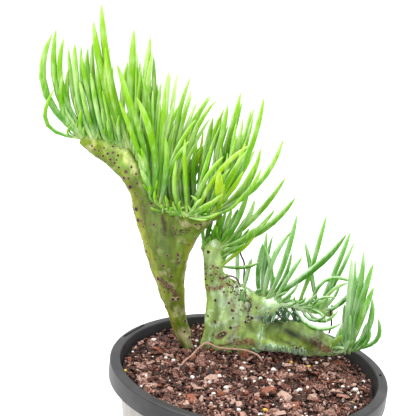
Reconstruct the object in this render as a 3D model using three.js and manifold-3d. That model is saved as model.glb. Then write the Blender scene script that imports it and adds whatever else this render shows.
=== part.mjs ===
/*
 * Potted crested chalk sticks: two fan-shaped stems with combs of finger leaves in a plastic nursery pot.
 * Millimetres, +Z up. The origin is the middle of the pot's underside, and the front of the plant faces -Y.
 */
import * as THREE from "three";
import { mergeVertices } from "three/addons/utils/BufferGeometryUtils.js";
import ManifoldModule from "manifold-3d";

const kernel = await ManifoldModule();
kernel.setup();
const { Manifold, Mesh: KernelMesh } = kernel;

// Fit between pieces that touch, and the wider fit of the mix round the stems and the root.
const GAP = 0.35;
const MIX_GAP = 0.5;

// Pot: a thin wall that leans out to a flat lip with a turned-down edge.
const POT_HEIGHT = 120;
const RIM_RADIUS = 82.5;
const BASE_RADIUS = 59;
const LIP_WIDTH = 6;
const LIP_DROP = 11;
const POT_WALL = 1.2;
const POT_FLOOR = 2;
const POT_SIDES = 48;
const DRAIN_COUNT = 8;
const DRAIN_RADIUS = 4.5;
const DRAIN_CIRCLE = 46;
const SLOTS = [
  [5, 7],
  [158.3, 24],
];
const SLOT_WIDTH = 1.6;

// Potting mix: a low mound of bark chips and perlite.
const MIX_EDGE = 112.5;
const MIX_MOUND = 2.2;
const MIX_RINGS = [18, 36, 54, 70];
const MIX_SIDES = 24;
const CHIP_COUNT = 38;
const CHIP_SIZE = [5, 12];
const PERLITE_COUNT = 16;
const PERLITE_SIZE = [1.3, 2];
const UNDER_PLANT = { left: -46, right: 64, front: 24, back: 50 };

// The growing edge of each fan, as points from left to right.
const TALL_EDGE = [
  [-120, 38, 236],
  [-108, 38, 236],
  [-95, 36, 234],
  [-83, 33, 231],
  [-76, 29, 219],
  [-69, 25, 207],
  [-61, 21, 201],
  [-53, 18, 201],
  [-45, 17, 201],
  [-37, 18, 201],
  [-32, 22, 204],
  [-29, 30, 203],
  [-34, 38, 199],
  [-44, 43, 197],
  [-55, 45, 197],
  [-66, 44, 200],
];
const SHORT_EDGE = [
  [-33, 33, 171],
  [-34, 32, 179],
  [-30, 31, 186],
  [-26, 31, 184],
  [-25, 32, 176],
  [-25, 33, 167],
  [-18, 34, 153.5],
  [-12, 34, 156.5],
  [-6, 34, 153.5],
  [1, 33, 151],
  [8, 34, 151.5],
  [15, 36, 147.5],
  [24, 37, 147.3],
  [33, 38, 146],
  [41, 38.5, 144.8],
  [48, 39, 143.3],
];
// Low edge at the right end of the bulge, beside the rim.
const RIM_EDGE = [
  [46, 36, 121],
  [53, 37, 120],
  [59, 37.5, 120],
  [65, 38, 122.8],
];

// Stems: half thickness at the foot, the middle and the growing edge, then where each part of an edge ends,
// and the radii of the strands and of the arm that stand clear.
const TALL_THICKNESS = [3.7, 4.6, 3.7];
const SHORT_THICKNESS = [5.2, 5.4, 4.2];
const STEM_FOOT = 98;
const STEM_TOP = 1.2;
const WING_END = 2.6;
const WING_STRANDS = [0, 0.9, 1.8];
const TALL_FRONT_END = 9.4;
const LOBE_END = 5.2;
const FAN_END = 10.8;
const ARM_RADII = [3.4, 3.2, 2.8, 2.2];
const LOBE_STRANDS = [0.9, 1.8, 3, 4.4];
const BACK_STRANDS = 9;
const STRAND_RADII = [3.6, 4.6, 5, 4.2, 2.4];
const LOBE_RADII = [4.4, 3.4, 3.5, 3.2, 2.2];
const STRAND_SHARES = [0.15, 0.45, 0.75, 1];
const TALL_SCARS = 16;
const SHORT_SCARS = 10;
const SCAR_RADIUS = 1.5;

// Round bulge that lies along the mix under the low ridge: points with the radius at each.
const BULGE = [
  [-6, 37, 116, 4],
  [2, 34, 121, 6.5],
  [13, 32, 127, 9.5],
  [24, 32, 128.5, 10.5],
  [34, 34, 126.5, 10],
  [43, 37, 123.5, 7.5],
  [49, 39, 121.5, 5.5],
  [53.5, 40, 118.5, 3.2],
];

// Leaves: share of the length and of the girth, from root to tip.
const LEAF_PROFILE = [
  [0, 0.76],
  [0.32, 0.96],
  [0.62, 1],
  [0.86, 0.7],
];
const SMALL_LEAF_PROFILE = [
  [0, 0.8],
  [0.5, 1],
  [0.82, 0.75],
];
const BENT = 8;
const LEAF_SIDES = 5;
const SMALL_LEAF_SIDES = 4;
const EDGE_RADIUS = 2.9;
const EDGE_LIFT = 2.4;

// Leaves that the eye picks out, one a row. The first number is the place along the edge, counted in edge
// points. The tip's reach follows (right, up, toward the viewer), then how far the middle bows to the left,
// then the girth.
const TALL_LEAVES = [
  [0.4, -22, 62, 6, 28, 3.9],
  [0.5, -22, 64, 2, 18, 3.6],
  [0.7, -19, 60, 4, 17, 3.4],
  [0.9, -15, 57, 3, 8, 3.6],
  [1.2, -14, 52, 6, 1, 3.4],
  [1.5, -13, 59, -2, 5, 3.4],
  [1.7, -7, 57, -10, 3, 3.4],
  [2.6, -26, 75, 4, 7, 4.2],
  [2.8, -25, 86, 0, 8, 4],
  [2.8, -5, 73, -2, 2, 4],
  [3.5, -3, 68, -10, 2, 3.4],
  [4.2, -5, 86, -4, 3, 3.9],
  [4.4, -8, 66, 4, -5, 3.6],
  [4.6, -5, 80, -6, -3, 3.4],
  [4.6, -24, 75, 8, -3, 3.9],
  [4.8, -21, 69, 12, -5, 3.6],
  [5, -13, 63, 14, -11, 3.9],
  [5, -2, 70, -8, 2, 3.4],
  [5.4, -1, 72, 4, 0, 3.4],
  [5.6, 15, 45, 8, 6, 3.4],
  [5.6, 17, 57, 4, 7, 3.4],
  [7.6, -7, 36, 12, 7, 3.4],
  [7.6, -3, 50, 14, 1, 3.4],
  [8.1, 8, 46, 4, 1, 3.4],
  [8.3, 28, 50, 12, 10, 3.4],
  [9.6, 24, 74, 2, -10, 3.9],
  [9.7, 16, 46, 4, -4, 3.4],
  [9.7, 27, 33, 6, -10, 3.4],
  [9.8, 37, 50, 0, -15, 3.7],
  [10.4, 1, 31, 30, 0, 4.4],
  [10.4, 22, 41, -4, -11, 3.4],
  [10.5, 9, 57, -10, -4, 3.4],
  [12, 10, 76, -2, 1, 3.8],
  [12.2, 5, 66, -2, 2, 3.6],
  [12.6, 7, 66, -2, 9, 3.4],
  [13, 5, 61, 0, 0, 3.6],
  [13.2, 8, 71, -2, 19, 3.4],
  [13.6, 8, 73, -4, 17, 3.4],
  [13.8, 3, 68, -4, 13, 3.4],
  [14, 1, 75, -6, 9, 3.4],
  [14.2, 2, 82, -2, 10, 3.4],
  [14.4, -4, 83, -6, 6, 3.4],
  [14.6, 17, 51, -2, -12, 3.4],
  [14.6, -7, 83, -4, 5, 4],
  [14.8, 1, 65, 4, 9, 3.4],
];
const UPPER_LEAVES = [
  [1.4, 3, 14, 2, 0, 2.8],
  [2.9, 5, 21, 2, 1, 2.8],
  [3.2, 13, 34, 0, -4, 3.4],
  [3.2, 34, 47, 4, -6, 3],
  [3.4, 17, 32, 2, -7, 3],
  [3.4, 41, 37, 4, -11, 3.3],
  [4.8, 9, 13, 2, 3, 2.8],
  [5, 20, 27, 6, -2, 2.8],
  [5, 24, 9, 8, -4, 2.8],
];
const LOW_LEAVES = [
  [9.1, -2, 36, 4, 4, 3.3],
  [9.3, -2, 40, -8, 1, 3],
  [9.4, 12, 44, 0, 7, 3],
  [9.7, 12, 55, 2, -5, 3.1],
  [9.9, -7, 34, 4, -6, 3],
  [10.2, 39, 49, 8, -7, 3.7],
  [10.4, 14, 30, 0, 1, 3],
  [11.9, 30, -3, 12, -18, 3],
  [12.2, 10, 60, 0, -2, 3],
  [12.3, 17, 1, 10, -16, 3],
  [13, 28, 19, 0, 23, 3],
  [13.6, -13, 42, -4, 0, 3],
  [13.7, 16, 21, 2, 7, 3],
  [13.7, 13, 53, -2, -1, 3],
  [13.9, 15, 46, -6, -1, 3],
  [14.3, 19, 33, -4, -10, 3],
];
const RIM_LEAVES = [
  [1.6, -3, 65, 8, -2, 3.3],
  [1.8, -2, 64, 5, -4, 3.2],
  [2, 1, 70, 9, -3, 3.3],
  [2.3, 6, 63, 10, 2, 3.8],
  [2.5, 7, 48, 12, 0, 3.6],
  [2.6, 7, 38, 6, -9, 3.4],
  [3, 10, 24, 4, -15, 3.2],
];

// The rest of each comb: how many leaves, and how much shorter than the picked ones beside them.
const TALL_FILL = { from: 0.3, to: 14.6, count: 16, seed: 14, shortest: 0.45, longest: 0.95 };
const UPPER_FILL = { from: 2.4, to: 4.6, count: 5, seed: 23, shortest: 0.45, longest: 0.9 };
const LOW_FILL = { from: 9.2, to: 14.2, count: 10, seed: 37, shortest: 0.35, longest: 0.85 };
const RIM_FILL = { from: 1.6, to: 2.9, count: 3, seed: 53, shortest: 0.35, longest: 0.8 };

// Dry root over the mix.
const ROOT_RADIUS = 0.8;
const ROOT_PATH = [
  [-42, -8, 108],
  [-39, -2, 116.5],
  [-35, 8, 117.5],
  [-31, 17, 120],
  [-27, 21, 121.5],
  [-20, 22, 119],
  [-10, 23, 119],
  [-2, 24, 118.5],
  [6, 20, 117],
  [11, 17, 109],
];

/** Gives the same even spread of numbers from 0 to 1 on every run. */
function seeded(seed) {
  let state = seed;
  return () => {
    state = (Math.imul(state, 1664525) + 1013904223) >>> 0;
    return state / 4294967296;
  };
}

function mix(a, b, share) {
  return a + (b - a) * share;
}

function vec(x, y, z) {
  return new THREE.Vector3(x, y, z);
}

/** Point at a place along an edge, where place 2 is the edge's third point. */
function along(edge, place) {
  const curve = new THREE.CatmullRomCurve3(edge.map((p) => vec(...p)), false, "catmullrom", 0.5);
  return curve.getPoint(THREE.MathUtils.clamp(place / (edge.length - 1), 0, 1));
}

/** Turns a closed geometry into a solid, with its faces outward. */
function solid(geometry) {
  const plain = new THREE.BufferGeometry().setAttribute("position", geometry.attributes.position);
  const merged = mergeVertices(plain.setIndex(geometry.index), 1e-5);
  const corners = merged.index.array;
  const points = merged.attributes.position;
  const [a, b, c] = [vec(), vec(), vec()];
  let volume = 0;
  for (let i = 0; i < corners.length; i += 3) {
    a.fromBufferAttribute(points, corners[i]);
    b.fromBufferAttribute(points, corners[i + 1]);
    c.fromBufferAttribute(points, corners[i + 2]);
    volume += a.dot(b.cross(c));
  }
  const faces = Uint32Array.from(corners);
  if (volume < 0) {
    faces.reverse();
  }
  const corner = Float32Array.from(points.array);
  return new Manifold(new KernelMesh({ numProp: 3, vertProperties: corner, triVerts: faces }));
}

/** Skins rings of points into a closed solid. Each end is flat, or a point where the ring is one point. */
function skin(rings) {
  const points = rings.flat();
  const faces = [];
  const sides = Math.max(...rings.map((ring) => ring.length));
  let start = 0;
  for (let r = 0; r + 1 < rings.length; r += 1) {
    const next = start + rings[r].length;
    for (let i = 0; i < sides; i += 1) {
      const j = (i + 1) % sides;
      const low = [start + i, start + j].map((n) => Math.min(n, next - 1));
      const high = rings[r + 1].length > 1 ? [next + i, next + j] : [next, next];
      faces.push(low[0], low[1], high[1]);
      if (high[0] !== high[1]) {
        faces.push(low[0], high[1], high[0]);
      }
    }
    start = next;
  }
  for (const [first, turned] of [[0, true], [start, false]]) {
    const count = first === 0 ? rings[0].length : rings.at(-1).length;
    let [low, high] = [0, count - 1];
    while (high - low > 1) {
      const fromLow = [low, low + 1, high];
      low += 1;
      const face = fromLow.map((n) => first + n);
      faces.push(...(turned ? face.reverse() : face));
      if (high - low > 1) {
        const fromHigh = [low, high - 1, high].map((n) => first + n);
        high -= 1;
        faces.push(...(turned ? fromHigh.reverse() : fromHigh));
      }
    }
  }
  const geometry = new THREE.BufferGeometry();
  const numbers = points.flatMap((p) => [p.x, p.y, p.z]);
  geometry.setAttribute("position", new THREE.Float32BufferAttribute(numbers, 3));
  geometry.setIndex(faces);
  return solid(geometry);
}

/** Round rod along points, with its own radius and sideways direction at each, grown all round by `grow`. */
function rod(points, radii, sides, sideways, grow = 0) {
  const last = points.length - 1;
  const rings = points.map((point, k) => {
    if (radii[k] === 0) {
      return [point];
    }
    const run = points[Math.min(k + 1, last)].clone().sub(points[Math.max(k - 1, 0)]).normalize();
    const x = sideways[k].clone().addScaledVector(run, -sideways[k].dot(run)).normalize();
    const y = run.clone().cross(x);
    const end = k === 0 ? -grow : grow;
    const middle = k === 0 || k >= last - 1 ? point.clone().addScaledVector(run, end) : point;
    return Array.from({ length: sides }, (_, i) => {
      const turn = (i / sides) * 2 * Math.PI;
      return middle.clone()
        .addScaledVector(x, Math.cos(turn) * (radii[k] + grow))
        .addScaledVector(y, Math.sin(turn) * (radii[k] + grow));
    });
  });
  return skin(rings);
}

function lathe(outline, sides) {
  const points = outline.map(([r, z]) => new THREE.Vector2(r, z));
  return solid(new THREE.LatheGeometry(points, sides).rotateX(Math.PI / 2));
}

function joined(solids) {
  return solids.reduce((whole, next) => whole.add(next));
}

function nurseryPot() {
  const lipInner = RIM_RADIUS - LIP_WIDTH;
  const skirt = RIM_RADIUS - POT_WALL;
  const outline = [
    [0, 0],
    [BASE_RADIUS - 1.5, 0],
    [BASE_RADIUS, 1.5],
    [lipInner + POT_WALL, POT_HEIGHT - POT_WALL],
    [skirt, POT_HEIGHT - POT_WALL],
    [skirt, POT_HEIGHT - LIP_DROP],
    [RIM_RADIUS, POT_HEIGHT - LIP_DROP],
    [RIM_RADIUS, POT_HEIGHT - 1],
    [RIM_RADIUS - 1, POT_HEIGHT],
    [lipInner + 0.6, POT_HEIGHT],
    [lipInner, POT_HEIGHT - 0.8],
    [BASE_RADIUS - POT_WALL, POT_FLOOR],
    [0, POT_FLOOR],
  ];
  let pot = lathe(outline, POT_SIDES);
  for (let i = 0; i < DRAIN_COUNT; i += 1) {
    const turn = ((i + 0.5) / DRAIN_COUNT) * 2 * Math.PI;
    const hole = new THREE.CylinderGeometry(DRAIN_RADIUS, DRAIN_RADIUS, 3 * POT_FLOOR, 10);
    hole.rotateX(Math.PI / 2);
    hole.translate(Math.cos(turn) * DRAIN_CIRCLE, Math.sin(turn) * DRAIN_CIRCLE, POT_FLOOR / 2);
    pot = pot.subtract(solid(hole));
  }
  for (const [angle, length] of SLOTS) {
    const slot = new THREE.BoxGeometry(SLOT_WIDTH, length, 3 * POT_WALL);
    slot.translate(lipInner + POT_WALL + 1.5, 0, POT_HEIGHT - POT_WALL / 2);
    slot.rotateZ(THREE.MathUtils.degToRad(angle));
    pot = pot.subtract(solid(slot));
  }
  return pot;
}

/** Height of the mix's mound at a distance from the middle. */
function mound(distance) {
  return MIX_EDGE + MIX_MOUND * Math.cos((Math.min(distance / 78, 1) * Math.PI) / 2);
}

/** Radius of the mix where it meets the pot's wall. */
function wallRadius(z) {
  const share = (z - POT_FLOOR) / (POT_HEIGHT - 0.8 - POT_FLOOR);
  return mix(BASE_RADIUS - POT_WALL, RIM_RADIUS - LIP_WIDTH, share) - GAP;
}

function isUnderPlant(x, y) {
  const { left, right, front, back } = UNDER_PLANT;
  return x > left && x < right && y > front && y < back;
}

function barkChip(random) {
  const size = mix(CHIP_SIZE[0], CHIP_SIZE[1], random() * random());
  const thick = mix(1.8, 3, random());
  const reach = Array.from({ length: 5 }, () => mix(0.75, 1.1, random()));
  const rings = [-0.5, 0.5].map((level) => reach.map((r, i) => {
    const turn = (i / 5) * 2 * Math.PI;
    const narrow = level > 0 ? 0.8 : 1;
    const reachOut = r * size * narrow;
    return vec(Math.cos(turn) * reachOut * 0.5, Math.sin(turn) * reachOut * 0.34, level * thick);
  }));
  const tilt = new THREE.Euler((random() - 0.5) * 0.7, (random() - 0.5) * 0.7, random() * 2 * Math.PI);
  return rings.map((ring) => ring.map((p) => p.applyEuler(tilt)));
}

function perliteGrain(random) {
  const size = mix(...PERLITE_SIZE, random());
  const start = random() * 2;
  const level = (height, radius) => Array.from({ length: 4 }, (_, i) => {
    const turn = start + (i / 4) * 2 * Math.PI;
    return vec(Math.cos(turn) * radius, Math.sin(turn) * radius, height);
  });
  return [level(-0.8 * size, 0.5 * size), level(0.1 * size, size), [vec(0, 0, 0.8 * size)]];
}

function pottingMix(holes) {
  const random = seeded(5);
  const bottom = POT_FLOOR + GAP;
  const ringAt = (radius, height) => Array.from({ length: MIX_SIDES }, (_, i) => {
    const turn = (i / MIX_SIDES) * 2 * Math.PI;
    return vec(Math.cos(turn) * radius, Math.sin(turn) * radius, height());
  });
  const rings = [
    ringAt(wallRadius(bottom), () => bottom),
    ringAt(wallRadius(MIX_EDGE - 1.5), () => MIX_EDGE - 1.5),
    ...MIX_RINGS.toReversed().map((radius) => ringAt(radius, () => mound(radius) + random() - 0.5)),
    [vec(0, 0, mound(0))],
  ];
  const lumps = [];
  for (let i = 0; i < CHIP_COUNT + PERLITE_COUNT; i += 1) {
    const isChip = i < CHIP_COUNT;
    const distance = Math.sqrt(random()) * (isChip ? 66 : 70);
    const turn = random() * 2 * Math.PI;
    const place = vec(Math.cos(turn) * distance, Math.sin(turn) * distance, mound(distance) + 0.3);
    const lump = isChip ? barkChip(random) : perliteGrain(random);
    if (!isUnderPlant(place.x, place.y)) {
      lumps.push(skin(lump.map((ring) => ring.map((p) => p.add(place)))));
    }
  }
  return joined([skin(rings), ...lumps]).subtract(holes);
}

/** One strand of the tall stem, from the mix (or from the trunk, in the wing) to its place on the edge. */
function tallStrand(place) {
  const end = along(TALL_EDGE, place);
  if (place < WING_END) {
    const inward = place / WING_END;
    const high = end.clone().add(vec(mix(9, 2, inward), 0, mix(-6, -10, inward)));
    return new THREE.CubicBezierCurve3(vec(-70, 31, 178), vec(-79, 33, 229), high, end);
  }
  const foot = vec(mix(-32, -31, place / 15), 28, STEM_FOOT);
  const level = place > TALL_FRONT_END ? Math.max(190, end.z - 25) : 190;
  const high = vec(Math.min(-29 + 0.58 * end.x, -54), mix(28, end.y, 0.6), level);
  return new THREE.CubicBezierCurve3(foot, vec(-58, 29, 150), high, end);
}

/** One strand of the short stem, in its upper lobe or in the fan to the right of it. */
function shortStrand(place) {
  const end = along(SHORT_EDGE, place);
  if (place < LOBE_END) {
    const foot = vec(mix(-34, -21, place / LOBE_END), 38, STEM_FOOT);
    return new THREE.CubicBezierCurve3(foot, vec(-24, 37, 126), vec(-27, 34, 152), end);
  }
  const share = (place - LOBE_END) / (FAN_END - LOBE_END);
  const foot = vec(mix(-22, -3, share), mix(36, 37, share), STEM_FOOT);
  const low = foot.clone().lerp(end, 0.22).add(vec(0, 0, 12));
  const high = foot.clone().lerp(end, 0.6).add(vec(0, 0, 12 - 6 * share));
  return new THREE.CubicBezierCurve3(foot, low, high, end);
}

/** Direction in which the tall stem's edge grows: on along its strands. */
function tallGrowth(place) {
  return tallStrand(place).getTangent(1);
}

/** Direction in which an edge of the short stem grows at each place: square to the edge. */
function edgeGrowth(edge) {
  return (place) => {
    const run = along(edge, place + 0.4).sub(along(edge, place - 0.4));
    return vec(-run.z, 0, run.x).normalize();
  };
}

/** A strand as a rod of its own. */
function strandRod(edge, strand, place, radii, grow) {
  const curve = strand(place);
  const points = STRAND_SHARES.map((share) => curve.getPoint(share));
  points.push(curve.getPoint(1).addScaledVector(curve.getTangent(1), STEM_TOP));
  const side = along(edge, place + 0.3).sub(along(edge, place - 0.3));
  return rod(points, radii, 6, points.map(() => side), grow);
}

function thicknessAt([foot, middle, edge], share) {
  return share < 0.5 ? mix(foot, middle, share * 2) : mix(middle, edge, share * 2 - 1);
}

/** Directions through a fan's thickness, one for each strand, eased so that neighbours never cross. */
function throughDirections(strands, line, share) {
  const last = strands.length - 1;
  const turned = THREE.MathUtils.smoothstep(share, 0.15, 0.9);
  let directions = strands.map((curve, i) => {
    const run = line[Math.min(i + 1, last)].clone().sub(line[Math.max(i - 1, 0)]).normalize();
    const across = run.cross(curve.getTangent(share)).normalize();
    return across.multiplyScalar(turned).add(vec(0, turned - 1, 0));
  });
  for (let pass = 0; pass < 2; pass += 1) {
    directions = directions.map((own, i) => own.clone().multiplyScalar(2)
      .add(directions[Math.max(i - 1, 0)])
      .add(directions[Math.min(i + 1, last)])
      .normalize());
  }
  return directions;
}

/** A fan: a sheet of strands that rises from a narrow foot and spreads to its growing edge. */
function fan(strand, stops, rows, thickness, grow) {
  const strands = stops.map(strand);
  const last = strands.length - 1;
  const rings = [];
  for (let row = 0; row <= rows + 1; row += 1) {
    const share = Math.min(row / rows, 1);
    const half = thicknessAt(thickness, share) * (row > rows ? 0.55 : 1) + grow;
    const line = strands.map((curve) => curve.getPoint(share));
    const through = throughDirections(strands, line, share);
    const front = [];
    const back = [];
    const ends = [];
    line.forEach((point, i) => {
      const rise = strands[i].getTangent(share);
      const beyond = row > rows ? STEM_TOP + grow : 0;
      const middle = point.clone().addScaledVector(rise, row === 0 ? -grow : beyond);
      front.push(middle.clone().addScaledVector(through[i], half));
      back.unshift(middle.clone().addScaledVector(through[i], -half));
      if (i === 0 || i === last) {
        const outward = rise.clone().cross(through[i]).normalize().multiplyScalar(i === 0 ? -1 : 1);
        ends.push(middle.clone().addScaledVector(outward, half * 0.9));
      }
    });
    rings.push([ends[0], ...front, ends[1], ...back]);
  }
  return skin(rings);
}

/** Evenly spaced places from one to another. */
function places(from, to, count) {
  return Array.from({ length: count }, (_, i) => mix(from, to, i / (count - 1)));
}

/** Low five-sided bump where a leaf fell. */
function scar(place, radius, grow) {
  const points = [2.5, -0.5].map((depth) => place.clone().add(vec(0, depth, 0)));
  return rod(points, [radius * 1.3, radius * 0.7], 5, points.map(() => vec(0, 0, 1)), grow);
}

/** Leaf scars scattered over the front of a fan. */
function scars(strand, thickness, { count, seed, from, to, low, high }, grow) {
  const random = seeded(seed);
  return Array.from({ length: count }, () => {
    const curve = strand(mix(from, to, random()));
    const share = mix(low, high, random());
    const point = curve.getPoint(share).add(vec(0, -thicknessAt(thickness, share), 0));
    return scar(point, SCAR_RADIUS, grow);
  });
}

function tallStem(grow = 0) {
  const loose = [...WING_STRANDS, ...places(TALL_FRONT_END, 15, BACK_STRANDS)];
  const spread = { count: TALL_SCARS, seed: 71, from: 2.8, to: 9, low: 0.2, high: 0.92 };
  return joined([
    fan(tallStrand, places(WING_END, TALL_FRONT_END, 12), 8, TALL_THICKNESS, grow),
    ...loose.map((place) => strandRod(TALL_EDGE, tallStrand, place, STRAND_RADII, grow)),
    ...scars(tallStrand, TALL_THICKNESS, spread, grow),
  ]);
}

function shortStem(grow = 0) {
  const arm = places(FAN_END - 1, SHORT_EDGE.length - 1, 8).map((place) => along(SHORT_EDGE, place));
  const armRadii = arm.map((_, i) => ARM_RADII[Math.floor(i / 2)]);
  const bulge = BULGE.map(([x, y, z]) => vec(x, y, z));
  const spread = { count: SHORT_SCARS, seed: 97, from: 1, to: 9, low: 0.3, high: 0.95 };
  return joined([
    fan(shortStrand, places(LOBE_END, FAN_END, 13), 7, SHORT_THICKNESS, grow),
    rod(arm, armRadii, 7, arm.map(() => vec(0, 1, 0)), grow),
    ...LOBE_STRANDS.map((place) => strandRod(SHORT_EDGE, shortStrand, place, LOBE_RADII, grow)),
    rod(bulge, BULGE.map((point) => point[3]), 8, bulge.map(() => vec(0, 1, 0)), grow),
    ...scars(shortStrand, SHORT_THICKNESS, spread, grow),
  ]);
}

function leaf(root, tip, bow, girth, profile, sides) {
  const reach = tip.clone().sub(root);
  const bowed = vec(-reach.z, 0, reach.x).multiplyScalar(bow / Math.hypot(reach.x, reach.z));
  const knee = root.clone().add(tip).multiplyScalar(0.5).add(bowed);
  const curve = new THREE.QuadraticBezierCurve3(root, knee, tip);
  const points = profile.map(([share]) => curve.getPoint(share));
  const radii = profile.map(([, size]) => (size * girth) / 2);
  return rod([...points, tip], [...radii, 0], sides, [...points, tip].map(() => vec(0, 1, 0)));
}

/** Values of the picked leaves, blended at a place along the edge. */
function neighbours(rows, place) {
  const after = rows.findIndex((row) => row[0] >= place);
  const high = after < 0 ? rows.length - 1 : Math.max(after, 1);
  const [a, b] = [rows[high - 1], rows[high]];
  const share = b[0] > a[0] ? THREE.MathUtils.clamp((place - a[0]) / (b[0] - a[0]), 0, 1) : 0;
  return a.slice(1).map((value, i) => mix(value, b[i + 1], share));
}

/** Comb of leaves on the growing edge between two places, with the bead of tissue that holds their roots. */
function comb(edge, growth, [from, to], rows, fill, stem) {
  const rim = (place) => along(edge, place).addScaledVector(growth(place), EDGE_LIFT);
  const stops = places(from, to, Math.round((to - from) * 1.5) + 1);
  const bodies = [rod(stops.map(rim), stops.map(() => EDGE_RADIUS), 6, stops.map(growth))];
  for (const [place, right, up, toward, bow, girth] of rows) {
    const tip = along(edge, place).add(vec(right, -toward, up));
    const root = rim(place).add(vec(0, -0.15 * toward, 0));
    const profile = Math.abs(bow) > BENT ? LEAF_PROFILE : SMALL_LEAF_PROFILE;
    bodies.push(leaf(root, tip, bow, girth, profile, LEAF_SIDES));
  }
  const random = seeded(fill.seed);
  for (let i = 0; i < fill.count; i += 1) {
    const place = mix(fill.from, fill.to, (i + mix(0.2, 0.8, random())) / fill.count);
    const [right, up, toward, bow, girth] = neighbours(rows, place);
    const length = mix(fill.shortest, fill.longest, random());
    const lean = (random() - 0.5) * 18;
    const front = (i % 2 === 0 ? 1 : -1) * mix(3, 10, random());
    const height = Math.max(up * length, 10);
    const tip = along(edge, place).add(vec(right * length + lean, -toward * length - front, height));
    const root = rim(place).add(vec(0, -0.15 * front, 0));
    bodies.push(leaf(root, tip, bow * length, girth * 0.92, SMALL_LEAF_PROFILE, SMALL_LEAF_SIDES));
  }
  return joined(bodies).subtract(stem);
}

function surfaceRoot(grow = 0) {
  const points = places(0, ROOT_PATH.length - 1, 19).map((place) => along(ROOT_PATH, place));
  return rod(points, points.map(() => ROOT_RADIUS), 5, points.map(() => vec(0, 0, 1)), grow);
}

function named(name, body, color, roughness) {
  const mesh = body.getMesh();
  const geometry = new THREE.BufferGeometry();
  geometry.setAttribute("position", new THREE.BufferAttribute(mesh.vertProperties, 3));
  geometry.setIndex(new THREE.BufferAttribute(mesh.triVerts, 1));
  geometry.computeVertexNormals();
  const piece = new THREE.Mesh(geometry, new THREE.MeshStandardMaterial({ color, roughness }));
  piece.name = name;
  return piece;
}

const tallGrown = tallStem(GAP);
const shortGrown = shortStem(GAP);
const holes = joined([tallStem(MIX_GAP), shortStem(MIX_GAP), surfaceRoot(MIX_GAP)]);

const plant = new THREE.Group();
plant.name = "potted_crested_chalk_sticks";
plant.add(named("nursery_pot", nurseryPot(), "#47484d", 0.45));
plant.add(named("potting_mix", pottingMix(holes), "#5b3a30", 0.95));
plant.add(named("tall_stem", tallStem(), "#8ca04c", 0.7));
const tallCrown = comb(TALL_EDGE, tallGrowth, [0, 15], TALL_LEAVES, TALL_FILL, tallGrown);
const upperCrown = comb(SHORT_EDGE, edgeGrowth(SHORT_EDGE), [0.8, 4.9], UPPER_LEAVES, UPPER_FILL, shortGrown);
const lowCrown = comb(SHORT_EDGE, edgeGrowth(SHORT_EDGE), [8.6, 14.6], LOW_LEAVES, LOW_FILL, shortGrown);
const rimCrown = comb(RIM_EDGE, edgeGrowth(RIM_EDGE), [0.8, 3], RIM_LEAVES, RIM_FILL, shortGrown);
plant.add(named("tall_crown", tallCrown, "#86c440", 0.5));
plant.add(named("short_stem", shortStem(), "#93b377", 0.7));
plant.add(named("upper_crown", upperCrown, "#7dbb55", 0.5));
plant.add(named("low_crown", lowCrown, "#6cb05a", 0.5));
plant.add(named("rim_crown", rimCrown, "#6cb05a", 0.5));
plant.add(named("surface_root", surfaceRoot(), "#b58b78", 0.85));

export default plant;
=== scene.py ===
"""Dresses the potted crested chalk sticks: fanned stems, combs of finger leaves, bark mix and the nursery pot.

Every size is in millimetres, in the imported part's own frame, until a piece is made in metres.
"""

import logging
import math
from collections.abc import Callable, Iterable, Mapping, Sequence
from dataclasses import dataclass
from enum import Enum
from typing import ClassVar

import bmesh
import bpy
import numpy as np
from mathutils import Matrix, Vector, noise
from mathutils.bvhtree import BVHTree


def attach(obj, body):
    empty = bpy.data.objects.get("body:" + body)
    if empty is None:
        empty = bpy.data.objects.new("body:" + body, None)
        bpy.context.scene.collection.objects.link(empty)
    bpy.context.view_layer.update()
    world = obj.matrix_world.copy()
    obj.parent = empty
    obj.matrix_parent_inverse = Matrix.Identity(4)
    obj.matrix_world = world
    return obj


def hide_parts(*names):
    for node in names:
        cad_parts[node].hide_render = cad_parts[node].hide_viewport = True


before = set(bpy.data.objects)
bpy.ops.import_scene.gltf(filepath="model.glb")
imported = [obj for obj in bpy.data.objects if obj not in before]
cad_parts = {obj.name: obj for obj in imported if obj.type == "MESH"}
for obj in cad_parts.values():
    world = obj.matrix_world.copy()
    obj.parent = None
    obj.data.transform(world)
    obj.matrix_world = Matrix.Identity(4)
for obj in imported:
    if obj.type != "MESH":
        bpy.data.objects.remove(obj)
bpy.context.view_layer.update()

LOG = logging.getLogger("chalk_sticks")
METRES = 0.001
BODY = "root"
# Names of the two values that each point carries: its finish's four channels, and a brightening or darkening that is
# painted light and shade, partly the skin's own tone.
TONE = "tone"
PAINTED_LIGHT_AND_TONE = "shade"
PLAIN = (0, 0, 0, 0)
CREASE_ANGLE = 32.0
WOUND_SIZE = 2.0
SCAR_SIDES = 12
CRUMB_SIDES = 6
SHRED_SIDES = 7
# Directions through the plant from front to back, level and tilted up a little.
THROUGH = np.array([0, 1, 0])
TILTED = np.array([0, 1, 0.2])

Tone = tuple[float, float, float, float]
Spot = tuple[float, float]
Place = tuple[float, float, float]
Tree = bpy.types.NodeTree
Node = bpy.types.Node


class Slot(str, Enum):
    """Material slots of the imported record."""

    POT = "pot_plastic"
    MIX = "bark_mix"
    TALL_STEM = "olive_stem"
    TALL_LEAF = "lime_leaf"
    SHORT_STEM = "pale_stem"
    SHORT_LEAF = "green_leaf"
    ROOT = "dry_root"


class Shading(Enum):
    """How a piece's faces are shaded."""

    SMOOTH = "smooth"
    FACETED = "faceted"
    CREASED = "creased"


class Layer(Enum):
    """What a wash lays on a stem: four colours, and painted light and shade that also evens out the skin's own tone."""

    WAX = 0
    OLIVE = 1
    CORK = 2
    POWDER = 3
    PAINTED_LIGHT_AND_TONE = 4


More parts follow.
